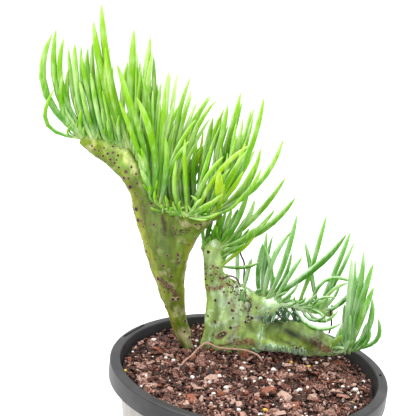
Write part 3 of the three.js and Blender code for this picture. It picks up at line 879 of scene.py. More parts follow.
@dataclass(frozen=True)
class GlaucousStemSkin(Finish):
    """Living stem skin: green under patchy grey wax, corky where it was hurt or where leaves fell.

    The lines are drawn twice as coarse as real ones, so that they show.
    """

    body: str = "#5c7012"
    waxy: str = "#6c8636"
    olive: str = "#828a14"
    cork: str = "#5c4233"
    powder: str = "#aaa57c"
    line: float = 1.6
    blotch: float = 6.667
    mottle: float = 4.348
    grain: float = 2.381
    speck: float = 1.316
    values: ClassVar[dict[str, object]] = {
        "Roughness": 0.5,
        "IOR": 1.42,
        "Subsurface Weight": 0.12,
        "Subsurface Radius": (0.7, 1.0, 0.3),
        "Subsurface Scale": 0.002,
        "Specular IOR Level": 0.35,
        "Sheen Weight": 0.05,
        "Sheen Roughness": 0.45,
        "Sheen Tint": "#eef7e6",
    }
    relief: ClassVar[Spot] = (0.35, 0.6)

    def pattern(self, tree: Tree) -> tuple[Node, Node]:
        """Tone channels give wax, olive, cork and powder, and painted light and shade brightens or darkens them; lines
        run up the stem.

        Args:
            tree: The material's tree.

        Returns:
            The colour, and the height of the relief.
        """
        wax, olive, cork, powder = self.tone(tree)
        here, upward, tall = self.place(tree), self.place(tree, (1, 1, 0.22)), self.place(tree, (1, 1, 0.6))
        lines = add_node(tree, "TexNoise", {"Vector": upward, "Scale": lumps(2 * self.line), "Detail": 5.0})
        fine = {"Vector": here, "Scale": lumps(self.grain), "Detail": 6.0, "Roughness": 0.65}
        grain = add_node(tree, "TexNoise", fine)
        mottles = add_node(tree, "TexNoise", {"Vector": tall, "Scale": lumps(self.mottle), "Detail": 4.0})
        blotches = add_node(tree, "TexNoise", {"Vector": here, "Scale": lumps(self.blotch), "Detail": 3.0})
        specks = add_node(tree, "TexNoise", {"Vector": here, "Scale": lumps(self.speck), "Detail": 2.0})
        # Each layer has its mask, its colour and how ragged the grain makes its edge.
        layers = (
            (add_node(tree, "MapRange", (blotches, 0.46, 0.7, 0.0, 0.75)), self.powder, 0.2),
            (wax, self.waxy, 0.25),
            (olive, self.olive, 0.25),
            (cork, self.cork, 0.75),
            (powder, self.powder, 0.3),
        )
        color: Node | str = self.body
        for mask, shade, ragged in layers:
            torn = add_node(tree, "MapRange", (grain, 0.25, 0.75, -ragged, ragged))
            shifted = add_node(tree, "Math", (mask, torn), operation="ADD")
            covered = add_node(tree, "MapRange", (shifted, 0.25, 0.85))
            color = add_node(tree, "Mix", {0: covered, 6: color, 7: shade}, data_type="RGBA")
        speckled = add_node(tree, "MapRange", (specks, 0.66, 0.74, 0.0, 0.55))
        color = add_node(tree, "Mix", {0: speckled, 6: color, 7: self.cork}, data_type="RGBA")
        mottled = add_node(tree, "Math", (lines, mottles), operation="ADD")
        # Painted light and shade from the washes, with some of the skin's own tone, brightens or darkens the colour.
        washed = add_node(tree, "Attribute", attribute_name=PAINTED_LIGHT_AND_TONE).outputs["Fac"]
        for light in ((mottled, 0.7, 1.3, 0.6, 1.4), (washed, -1.0, 1.0, 0.05, 1.95)):
            brightness = add_node(tree, "MapRange", light)
            color = add_node(tree, "VectorMath", (color, brightness), operation="MULTIPLY")
        return color, add_node(tree, "Math", (lines, grain), operation="ADD")


@dataclass(frozen=True)
class DriedFibre(Finish):
    """Dried plant fibre or cork: matt, shaded from dark to light by its tone."""

    dark: str = "#241a17"
    middle: str = "#75543f"
    light: str = "#aaa27a"
    grain: float = 1.111
    values: ClassVar[dict[str, object]] = {"Roughness": 0.8}
    relief: ClassVar[Spot] = (0.4, 0.3)

    def pattern(self, tree: Tree) -> tuple[Node, Node]:
        """Fibre shade from the tone's first channel, broken up by grain.

        Args:
            tree: The material's tree.

        Returns:
            The colour, and the height of the relief.
        """
        grain = add_node(tree, "TexNoise", {"Vector": self.place(tree), "Scale": lumps(self.grain), "Detail": 3.0})
        lift = add_node(tree, "MapRange", (grain, 0.3, 0.7, -0.1, 0.1))
        lit = add_node(tree, "Math", (self.tone(tree)[0], lift), operation="ADD")
        stops = ((0.0, self.dark), (1.0, self.light), (0.5, self.middle))
        return add_node(tree, "ValToRGB", (lit,), stops), grain


@dataclass(frozen=True)
class BackdropPaper(Finish):
    """Seamless backdrop paper: matt and almost white."""

    shade: str = "#f7f7f6"
    values: ClassVar[dict[str, object]] = {"Roughness": 0.9}

    def pattern(self, tree: Tree) -> tuple[str, None]:
        """Plain matt paper."""
        return self.shade, None


POT_PLASTIC = MouldedPolypropylene("moulded_polypropylene_charcoal")
BARK = PineBark("composted_pine_bark")
PERLITE = ExpandedGrain("expanded_perlite")
FEED = ExpandedGrain("coated_feed_granule", light="#f0cf54", shaded="#b98f2c")
LIME_LEAF = WaxyLeafSkin("waxy_leaf_skin_lime")
GREEN_LEAF = WaxyLeafSkin(
    "waxy_leaf_skin_green", "#93b25e", "#4f9028", "#5ea132", "#86c258", "#d2f0c2", "#b4d034", "#2c6e0a"
)
FRESH_LEAF = WaxyLeafSkin(
    "waxy_leaf_skin_fresh", "#86a54a", "#47860f", "#52920a", "#78b424", "#c6e8a0", "#b0cc24", "#2a640a"
)
OLIVE_STEM = GlaucousStemSkin("glaucous_stem_skin_olive")
PALE_STEM = GlaucousStemSkin("glaucous_stem_skin_pale", "#9cba66", "#b3cf9e", "#8cab38", "#947352", "#d9f1d2")
CORK = DriedFibre("corky_leaf_scar")
DRY_ROOT = DriedFibre("dried_root_bark", dark="#6a4438", middle="#b98d79", light="#dcc0ae")
DEBRIS = DriedFibre("wilted_leaf_shred", dark="#1c3312", middle="#5c8a54", light="#c6e6c6")
PAPER = BackdropPaper("seamless_backdrop_paper")


def fillet(outline: Sequence[Place], steps: int = 5) -> list[Spot]:
    """Rounds the corners of an outline.

    Args:
        outline: Radius, height and corner radius of each corner.
        steps: Points on each rounded corner.

    Returns:
        The rounded outline as radius and height.
    """
    corners = np.array([(r, z) for r, z, _ in outline], float)
    made: list[Spot] = []
    for i, (r, z, size) in enumerate(outline):
        if size <= 0 or i in (0, len(outline) - 1):
            made.append((r, z))
            continue
        here = corners[i]
        back, on = unit(corners[i - 1] - here), unit(corners[i + 1] - here)
        for t in np.linspace(0, 1, steps):
            start, end = here + back * size, here + on * size
            point = (1 - t) ** 2 * start + 2 * t * (1 - t) * here + t**2 * end
            made.append((float(point[0]), float(point[1])))
    return made


@dataclass
class NurseryPot:
    """Plastic nursery pot: a thin wall that leans out to a flat lip with a turned-down edge.

    The two slots in the lip are given by their angle round the pot and their length.
    """

    height: float = 120.0
    rim_radius: float = 82.5
    base_radius: float = 59.0
    lip_width: float = 6.0
    lip_drop: float = 11.0
    wall: float = 1.2
    floor: float = 2.0
    sides: int = 144
    drain_count: int = 8
    drain_sides: int = 28
    drain_radius: float = 4.5
    drain_circle: float = 46.0
    slots: tuple[Spot, ...] = ((5.0, 7.0), (158.3, 24.0))
    slot_width: float = 1.6
    slot_inset: float = 1.5

    def outline(self) -> list[Spot]:
        """Half section of the pot, from the middle of its underside round to the middle of its floor.

        Returns:
            Radius and height of each point.
        """
        inner = self.rim_radius - self.lip_width
        skirt = self.rim_radius - self.wall
        top = self.height
        corners = (
            (0, 0, 0),
            (self.base_radius, 0, 1.8),
            (inner + self.wall, top - self.wall, 0.6),
            (skirt, top - self.wall, 0.6),
            (skirt, top - self.lip_drop, 0.3),
            (self.rim_radius, top - self.lip_drop, 0.4),
            (self.rim_radius, top, 1.6),
            (inner, top, 0.9),
            (self.base_radius - self.wall, self.floor, 1.0),
            (0, self.floor, 0),
        )
        return fillet(corners)

    def cutters(self) -> bpy.types.Object:
        """Plugs of the drain holes and of the two slots in the lip.

        Returns:
            One object that holds them all.
        """
        work = bmesh.new()
        for i in range(self.drain_count):
            turn = (i + 0.5) / self.drain_count * 2 * math.pi
            spot = Vector(polar(self.drain_circle, turn, self.floor / 2))
            bmesh.ops.create_cone(
                work,
                cap_ends=True,
                segments=self.drain_sides,
                radius1=self.drain_radius * METRES,
                radius2=self.drain_radius * METRES,
                depth=3 * self.floor * METRES,
                matrix=Matrix.Translation(spot * METRES),
            )
        for angle, length in self.slots:
            middle = self.rim_radius - self.lip_width + self.wall + self.slot_inset
            spot = Vector((middle, 0, self.height - self.wall / 2))
            size = Vector((self.slot_width, length, 3 * self.wall)) * METRES
            place = Matrix.Rotation(math.radians(angle), 4, "Z") @ Matrix.Translation(spot * METRES)
            bmesh.ops.create_cube(work, size=1, matrix=place @ Matrix.Diagonal((*size, 1)))
        mesh = bpy.data.meshes.new("pot_cutters")
        work.to_mesh(mesh)
        work.free()
        return placed("pot_cutters", mesh)

    def build(self) -> None:
        """Turns the pot, cuts its holes and dresses it."""
        outline = self.outline()
        rings = np.array([[polar(r, a, z) for a in turns(self.sides)] for r, z in outline[1:-1]])
        sketch = Sketch()
        poles = (np.array([0, 0, outline[0][1]], float), np.array([0, 0, outline[-1][1]], float))
        sketch.rings(rings, PLAIN, poles)
        plugs = self.cutters()
        cut = ("BOOLEAN", {"operation": "DIFFERENCE", "object": plugs, "solver": "EXACT"})
        mesh = with_modifiers(sketch.mesh("nursery_pot_wall"), [cut])
        bpy.data.objects.remove(plugs)
        dress("nursery_pot_wall", mesh, POT_PLASTIC, Slot.POT, "nursery_pot", shading=Shading.CREASED)


@dataclass
class FannedStem:
    """A stem that widens from a narrow foot into a sheet of strands, with its node's name.

    Patches are ovals of a layer, washes are strokes, both in millimetres across and up. A picked scar has its place,
    radius and shade; the others are a seeded scatter. Each layer of bumps has its height, its size along X, Y and Z
    and a shift.
    """

    name: str
    slot: Slot
    finish: GlaucousStemSkin
    strand: Callable[[float], Strand]
    radii: tuple[float, ...]
    fan_places: Spot
    thickness: Place
    loose: tuple[tuple[float, float, int], ...]
    patches: tuple[tuple[Layer, float, float, float, float, float], ...]
    picked_scars: tuple[tuple[float, float, float, float], ...]
    edge: np.ndarray
    front: float
    ropes: tuple[tuple[tuple[float, float, float, float], ...], ...] = ()
    washes: tuple[Wash, ...] = ()
    crumbs: tuple[Crumbs, ...] = ()
    shreds: tuple[Shred, ...] = ()
    scar_count: int = 60
    scar_seed: int = 71
    scar_tries: int = 4000
    scar_gap: float = 6.0
    scar_floor: float = 118.0
    scar_margin: float = 6.0
    scar_steepest: float = 0.75
    voxel: float = 0.9
    strands: int = 34
    rows: int = 22
    turn_from: float = 0.15
    turn_over: float = 0.75
    cap_share: float = 0.55
    cap_lift: float = 1.2
    end_share: float = 0.9
    rod_rows: int = 14
    rod_sides: int = 16
    rope_rows: int = 8
    rope_sides: int = 24
    bumps: tuple[tuple[float, Place, float], ...] = (
        (0.55, (9, 9, 12), 3.1), (0.3, (2.6, 2.6, 15), 7.7), (0.18, (1.7, 1.7, 2.4), 1.9),
    )

    def half_thickness(self, share: float) -> float:
        """Half the stem's thickness at a share of its height."""
        return float(np.interp(share, (0, 0.5, 1), self.thickness))

    def through(self, strands: Sequence[Strand], line: np.ndarray, share: float) -> np.ndarray:
        """Directions through the sheet at each strand, eased so that neighbours never cross.

        Args:
            strands: The strands, side by side.
            line: Their points at this height.
            share: Share of their length.

        Returns:
            One direction for each strand.
        """
        run = unit(np.gradient(line, axis=0))
        rise = np.array([strand.rise(share) for strand in strands])
        blend = min(max((share - self.turn_from) / self.turn_over, 0), 1)
        turned = blend * blend * (3 - 2 * blend)
        across = unit(np.cross(run, rise)) * turned + np.array([0, turned - 1, 0])
        for _ in range(4):
            before, after = np.vstack([across[:1], across[:-1]]), np.vstack([across[1:], across[-1:]])
            across = unit(2 * across + before + after)
        return across

    def sheet(self, sketch: Sketch) -> None:
        """Draws the fan.

        Args:
            sketch: Where it is drawn.
        """
        first, last = self.fan_places
        strands = [self.strand(place) for place in np.linspace(first, last, self.strands)]
        rings = []
        for row in range(self.rows + 2):
            share = min(row / self.rows, 1.0)
            capped = row > self.rows
            half = self.half_thickness(share) * (self.cap_share if capped else 1)
            line = np.array([strand.at(share) for strand in strands])
            through = self.through(strands, line, share)
            rise = np.array([strand.rise(share) for strand in strands])
            middle = line + rise * (self.cap_lift if capped else 0)
            ends = [
                middle[i] + sign * unit(np.cross(rise[i], through[i])) * half * self.end_share
                for i, sign in ((0, -1), (-1, 1))
            ]
            front, back = middle + through * half, (middle - through * half)[::-1]
            rings.append(np.vstack([ends[0], front, ends[1], back]))
        skin = np.array(rings)
        sketch.rings(skin, PLAIN, (skin[0].mean(axis=0), skin[-1].mean(axis=0)))

    def rods(self, sketch: Sketch) -> None:
        """Draws the strands that stand clear of the fan, and the round ropes of tissue.

        Args:
            sketch: Where they are drawn.
        """
        shares = np.linspace(STRAND_SHARES[0], 1, self.rod_rows)
        radii = np.interp(shares, STRAND_SHARES, self.radii)
        for first, last, count in self.loose:
            for place in np.linspace(first, last, count):
                strand = self.strand(place)
                side = along(self.edge, place + 0.3) - along(self.edge, place - 0.3)
                sketch.tube(np.array([strand.at(share) for share in shares]), radii, self.rod_sides, side)
        for rope in self.ropes:
            path = smooth_path(rope, self.rope_rows * len(rope))
            sketch.tube(path[:, :3], path[:, 3], self.rope_sides, THROUGH)

    def tone_at(self, points: np.ndarray) -> np.ndarray:
        """Wax, olive, cork, powder, and painted light and shade with some of the skin's own tone, at each point, from
        the stem's patches and washes.

        Args:
            points: Points in millimetres.

        Returns:
            One row of layers for each point.
        """
        tones = np.zeros((len(points), len(Layer)))
        for layer, x, z, wide, tall, weight in self.patches:
            k = layer.value
            reach = ((points[:, 0] - x) / wide) ** 2 + ((points[:, 2] - z) / tall) ** 2
            tones[:, k] = np.maximum(tones[:, k], weight * np.exp(-reach))
        for wash in self.washes:
            strength = wash.strength(points)
            k = wash.layer.value
            tones[:, k] = tones[:, k] + strength if wash.layer is Layer.PAINTED_LIGHT_AND_TONE else np.maximum(tones[:, k], strength)
        return np.clip(tones, -1, 1)

    def skin(self) -> bpy.types.Mesh:
        """The stem's skin as one smooth mesh with its small lumps and ribs.

        Returns:
            The mesh, in metres, with its tones.
        """
        sketch = Sketch()
        self.sheet(sketch)
        self.rods(sketch)
        melt = ("REMESH", {"mode": "VOXEL", "voxel_size": self.voxel * METRES})
        mesh = with_modifiers(sketch.mesh(self.name), [melt, ("SMOOTH", {"factor": 0.5, "iterations": 6})])
        points, normals = points_of(mesh), normals_of(mesh)
        lift = sum(height * uneven(points, size, shift) for height, size, shift in self.bumps)
        moved = points + normals * lift[:, None]
        mesh.vertices.foreach_set("co", (moved * METRES).astype(np.float32).ravel())
        if TONE in mesh.color_attributes:
            mesh.color_attributes.remove(mesh.color_attributes[TONE])
        tones = self.tone_at(moved).astype(np.float32)
        layer = mesh.color_attributes.new(TONE, "FLOAT_COLOR", "POINT")
        layer.data.foreach_set("color", tones[:, :4].ravel())
        shade = mesh.attributes.new(PAINTED_LIGHT_AND_TONE, "FLOAT", "POINT")
        shade.data.foreach_set("value", tones[:, Layer.PAINTED_LIGHT_AND_TONE.value].copy())
        mesh.update()
        return mesh

    def seen(self, tree: BVHTree, x: float, z: float) -> tuple[np.ndarray, np.ndarray]:
        """Point and normal of the skin behind a place on the stem's front plane, or else nearest to it.

        Args:
            tree: Search tree over the skin.
            x: Place across.
            z: Place up.

        Returns:
            The point and the normal.
        """
        eye, aim = Vector(Camera().place), Vector((x, self.front, z))
        hit, normal, _, _ = tree.ray_cast(eye, (aim - eye).normalized())
        if hit is None:
            hit, normal, _, _ = tree.find_nearest(aim)
        return np.array(hit), np.array(normal)

    def debris(self, tree: BVHTree) -> tuple[Sketch, Sketch]:
        """Crumbs and shreds on the skin: the brown ones and the pale ones.

        Args:
            tree: Search tree over the skin.

        Returns:
            The brown ones and the pale ones.
        """
        brown, pale = Sketch(), Sketch()
        draw = Draw(self.scar_seed + 5)
        for crumbs in self.crumbs:
            knots = np.array([(x, 0, z) for x, z in crumbs.line], float)
            for _ in range(crumbs.count):
                here = along(knots, draw.unit() * (len(knots) - 1))
                turn, away = draw.unit() * 2 * math.pi, crumbs.stray * draw.unit() ** 0.7
                x, z = here[0] + math.cos(turn) * away, here[2] + math.sin(turn) * away
                size = crumbs.size * draw.between(0.5, 1.3)
                tone = draw.between(*crumbs.tones)
                crumb(pale if crumbs.pale else brown, *self.seen(tree, x, z), size, tone, draw)
        for shred in self.shreds:
            knots = [(*self.seen(tree, x, z)[0],) for x, z in shred.line]
            spine = smooth_path(knots, 6 * len(knots)) - (0, 0.6 * shred.radius, 0)
            radii = shred.radius * np.array([draw.between(0.6, 1.2) for _ in spine])
            radii[-3:] *= (0.8, 0.55, 0.3)
            target = pale if shred.pale else brown
            target.tube(spine, radii, SHRED_SIDES, TILTED, (shred.tone, 0, 0, 0))
        return brown, pale

    def scars(self, mesh: bpy.types.Mesh, tree: BVHTree) -> Sketch:
        """Leaf scars on the skin: the listed ones, and a seeded scatter over the rest.

        Args:
            mesh: The skin.
            tree: Search tree over it.

        Returns:
            The scars.
        """
        points, normals = points_of(mesh), normals_of(mesh)
        sketch = Sketch()
        taken: list[np.ndarray] = []
        for x, z, size, shade in self.picked_scars:
            hit, normal = self.seen(tree, x, z)
            leaf_scar(sketch, hit, normal, size, shade)
            taken.append(hit)
        draw = Draw(self.scar_seed)
        tries = 0
        top = points[:, 2].max()
        while len(taken) < self.scar_count and tries < self.scar_tries:
            tries += 1
            i = int(draw.unit() * len(points))
            spot, normal = points[i], normals[i]
            if not self.scar_floor <= spot[2] <= top - self.scar_margin or abs(normal[2]) > self.scar_steepest:
                continue
            if taken and min(np.linalg.norm(spot - other) for other in taken) < self.scar_gap:
                continue
            # Few of the scars that face the viewer are left to chance.
            if normal[1] < -0.2 and draw.unit() < 0.8:
                continue
            leaf_scar(sketch, spot, normal, draw.between(0.5, 0.85), draw.between(0.3, 0.7))
            taken.append(spot)
        return sketch

    def build(self) -> bpy.types.Object:
        """Makes the skin with its scars, crumbs and shreds.

        Returns:
            The skin's object.
        """
        mesh = self.skin()
        faces = [tuple(face.vertices) for face in mesh.polygons]
        tree = BVHTree.FromPolygons([Vector(point) for point in points_of(mesh)], faces)
        brown, pale = self.debris(tree)
        piece = dress(f"{self.name}_skin", mesh, self.finish, self.slot, self.name)
        parts = (("scars", self.scars(mesh, tree), CORK), ("crumbs", brown, CORK), ("shreds", pale, DEBRIS))
        for part, sketch, finish in parts:
            if sketch.points:
                dress(f"{self.name}_{part}", sketch, finish, self.slot, self.name)
        return piece


def leaf_scar(sketch: Sketch, spot: np.ndarray, normal: np.ndarray, size: float, shade: float) -> None:
    """Draws the round mark that a fallen leaf leaves: a low rim round a dark pit; a large one is a long wound.

    Args:
        sketch: Where it is drawn.
        spot: Its middle on the skin.
        normal: Direction out of the skin.
        size: Radius over the rim.
        shade: How light the rim is, from 0 to 1.
    """
    out = unit(normal)
    x = unit(np.cross(out, np.array([0.1, 0.2, 1.0])))
    y = np.cross(out, x)
    if size > WOUND_SIZE:
        x, y = unit(x - y) * 0.62, unit(x + y) * 1.25
    turn = turns(SCAR_SIDES)
    circle = np.cos(turn)[:, None] * x + np.sin(turn)[:, None] * y
    # Reach, height and tone of each ring, from the pale skin round the scar in to its pit.
    levels = (
        (1.5, -0.5, 0.6 + 0.45 * shade),
        (1.28, 0.04, 0.55 + 0.5 * shade),
        (0.95, 0.25, 0.25 + 0.55 * shade),
        (0.66, 0.2, 0.3 * shade),
        (0.36, 0.02, 0.0),
    )
    rings = np.array([spot + circle * reach * size + out * height * size for reach, height, _ in levels])
    tones = np.array([(tone, 0, 0, 0) for _, _, tone in levels])
    sketch.rings(rings, tones, (spot - out * size, spot))


def crumb(sketch: Sketch, spot: np.ndarray, normal: np.ndarray, size: float, tone: float, draw: Draw) -> None:
    """Draws one dry crumb half sunk in a skin.

    Args:
        sketch: Where it is drawn.
        spot: Its place on the skin.
        normal: Direction out of the skin.
        size: Its radius.
        tone: How light it is, from 0 to 1.
        draw: Random numbers for its outline.
    """
    out = unit(normal + np.array([draw.between(-0.4, 0.4), 0, draw.between(-0.4, 0.4)]))
    x = unit(np.cross(out, np.array([draw.between(-1, 1), 0.3, draw.between(-1, 1)])))
    y = np.cross(out, x)
    turn = turns(CRUMB_SIDES)
    reach = np.array([draw.between(0.5, 1.3) for _ in turn])
    slim = draw.between(0.3, 0.8)
    circle = (np.cos(turn) * reach)[:, None] * x + (np.sin(turn) * reach * slim)[:, None] * y
    rings = np.array([spot + circle * size - out * 0.3 * size, spot + circle * 0.7 * size + out * 0.4 * size])
    sketch.rings(rings, (tone, 0, 0, 0), (spot - out * 0.4 * size, spot + out * 0.5 * size))


@dataclass(frozen=True)
class Rank:
    """A run of leaves that fills a comb between its picked leaves; those with a droop hang over the front."""

    first: float
    last: float
    count: int
    seed: int
    shortest: float
    longest: float
    near: float
    far: float
    lean: float = 18.0
    girth: float = 0.94
    droop: float = 0.0


@dataclass
class LeafComb:
    """Finger leaves on a growing edge, with the bead of tissue that holds their roots and its node's name.

    The shape gives a leaf's girth as a share of its widest at each share of its length.
    """

    node: str
    slot: Slot
    finish: WaxyLeafSkin
    edge: np.ndarray
    growth: Callable[[float], np.ndarray]
    span: Spot
    picked: tuple[tuple[float, ...], ...]
    ranks: tuple[Rank, ...]
    seed: int
    fullness: float = 1.1
    edge_radius: float = 1.5
    edge_lift: float = 2.0
    sides: int = 12
    slim_places: Spot = (0.0, 0.0)
    slim_share: float = 0.84
    bloom_share: float = 0.28
    root_spread: float = 2.6
    root_drop: float = 1.0
    least_rise: Spot = (4.0, 8.0)
    tint: float = 0.15
    sway: Spot = (0.1, 0.7)
    sun: Place = (-0.35, -0.25, 1.0)
    shape: tuple[Spot, ...] = (
        (0, 0.5), (0.05, 0.62), (0.14, 0.8), (0.28, 0.94), (0.45, 1.0), (0.62, 1.0), (0.74, 0.93), (0.84, 0.78),
        (0.91, 0.57), (0.96, 0.34), (0.99, 0.14),
    )

    def rim(self, place: float) -> np.ndarray:
        """Middle of the bead at a place along the edge."""
        return along(self.edge, place) + self.growth(place) * self.edge_lift

    def root(self, place: float, shift: float) -> np.ndarray:
        """Root of a leaf at a place, shifted to the back of the bead or down its front."""
        return self.rim(place) + (0, shift, 0) - self.growth(place) * max(0.0, -shift) * self.root_drop

    def leaf(self, sketch: Sketch, root: np.ndarray, tip: np.ndarray, look: Sequence[float], draw: Draw) -> None:
        """Draws one leaf.

        Args:
            sketch: Where it is drawn.
            root: Where it leaves the bead.
            tip: Its tip.
            look: How far its middle bows to the left, its girth, its shade and how pale its wax is.
            draw: Random numbers for its small bends.
        """
        bow, girth, shade, wax = look
        reach = tip - root
        bowed = np.array([-reach[2], 0, reach[0]]) * (bow / math.hypot(reach[0], reach[2]))
        knee = (root + tip) / 2 + bowed
        shares = np.array([share for share, _ in self.shape])
        radii = np.array([size for _, size in self.shape]) * girth * self.fullness / 2
        s = shares[:, None]
        spine = (1 - s) ** 2 * root + 2 * s * (1 - s) * knee + s**2 * tip
        sway = unit(np.array([draw.unit() - 0.5, draw.unit() - 0.5, 0.0]))
        spine = spine + np.sin(s * 2 * math.pi) * sway * draw.between(*self.sway)
        rise = unit(np.gradient(spine, axis=0))
        sun = np.array(self.sun)
        over = sun - rise * (rise @ sun)[:, None]
        steep = np.linalg.norm(over, axis=1, keepdims=True)
        over = over / steep * (0.5 + 0.5 * steep)
        turn = turns(self.sides)
        side = np.array([0.3, 1, 0])
        x = unit(side - (rise @ side)[:, None] * rise)
        y = np.cross(rise, x)
        out = np.cos(turn)[None, :, None] * x[:, None] + np.sin(turn)[None, :, None] * y[:, None]
        upper = np.einsum("rsk,rk->rs", out, over)
        # The side toward the sun is painted paler as a painted highlight, less so on a yellow leaf, and the underside
        # is painted darker as painted shade.
        lit = (0.8 - 0.6 * max(shade, 0.0)) * np.clip((upper - 0.5) / 0.38, 0, 1)
        pale = np.clip(self.bloom_share * wax**2 + lit, 0, 1)
        under = 0.32 * np.clip((-upper - 0.1) / 0.7, 0, 1)
        deep_green_and_shade = np.clip(max(-shade, 0.0) + under, 0, 1)
        tones = np.stack([np.broadcast_to(s, pale.shape), pale, np.full(pale.shape, max(shade, 0.0)), deep_green_and_shade], axis=-1)
        rings = spine[:, None] + out * radii[:, None, None]
        poles = (spine[0] - rise[0] * radii[0] * 0.5, spine[-1] + rise[-1] * radii[-1] * 0.6)
        sketch.rings(rings, tones, poles)

    def slimming(self, place: float) -> float:
        """Girth of the leaves at a place as a share of the measured one: the front ones are slimmer."""
        low, high = self.slim_places
        return self.slim_share if low < place < high else 1.0

    def blended(self, place: float) -> np.ndarray:
        """Values of the picked leaves, blended at a place along the edge."""
        rows = np.array(self.picked, float)
        return np.array([np.interp(place, rows[:, 0], rows[:, i]) for i in range(1, rows.shape[1])])

    def build(self) -> None:
        """Draws the bead, the picked leaves and the ranks, and dresses them."""
        sketch = Sketch()
        draw = Draw(self.seed)
        places = np.linspace(*self.span, int((self.span[1] - self.span[0]) * 5) + 1)
        sketch.tube(
            np.array([self.rim(place) for place in places]),
            np.full(len(places), self.edge_radius),
            self.sides,
            np.array([self.growth(place) for place in places]),
            (0.0, 0.3, 0, 0),
        )
        for place, right, up, toward, *look in self.picked:
            tip = along(self.edge, place) + (right, -toward, up)
            root = self.root(place, draw.between(-self.root_spread, 0.5 * self.root_spread))
            self.leaf(sketch, root, tip, (look[0], look[1] * self.slimming(place), *look[2:]), draw)
        for rank in self.ranks:
            self.fill(sketch, rank)
        dress(f"{self.node}_leaves", sketch, self.finish, self.slot, self.node)

    def fill(self, sketch: Sketch, rank: Rank) -> None:
        """Draws one rank of leaves between the picked ones.

        Args:
            sketch: Where it is drawn.
            rank: The rank.
        """
        draw = Draw(rank.seed)
        for i in range(rank.count):
            place = mix(rank.first, rank.last, (i + draw.between(0.1, 0.9)) / rank.count)
            right, up, toward, bow, girth, shade, wax = self.blended(place)
            length = draw.between(rank.shortest, rank.longest)
            lean = (draw.unit() - 0.5) * rank.lean * min(1.0, length + 0.3)
            front = (1 if i % 2 == 0 else -1) * draw.between(rank.near, rank.far)
            height = max(up * length, self.least_rise[0] + self.least_rise[1] * length) - rank.droop * draw.unit()
            if rank.droop:
                front = abs(front)
            tip = along(self.edge, place) + (right * length + lean, -toward * length - front, height)
            shift = math.copysign(draw.between(0.2, 0.9) * self.root_spread, -front)
            tint = 0.5 * shade + draw.between(-self.tint, self.tint)
            look = (bow * length, girth * rank.girth, tint, mix(wax, draw.unit(), 0.5))
            self.leaf(sketch, self.root(place, shift), tip, look, draw)


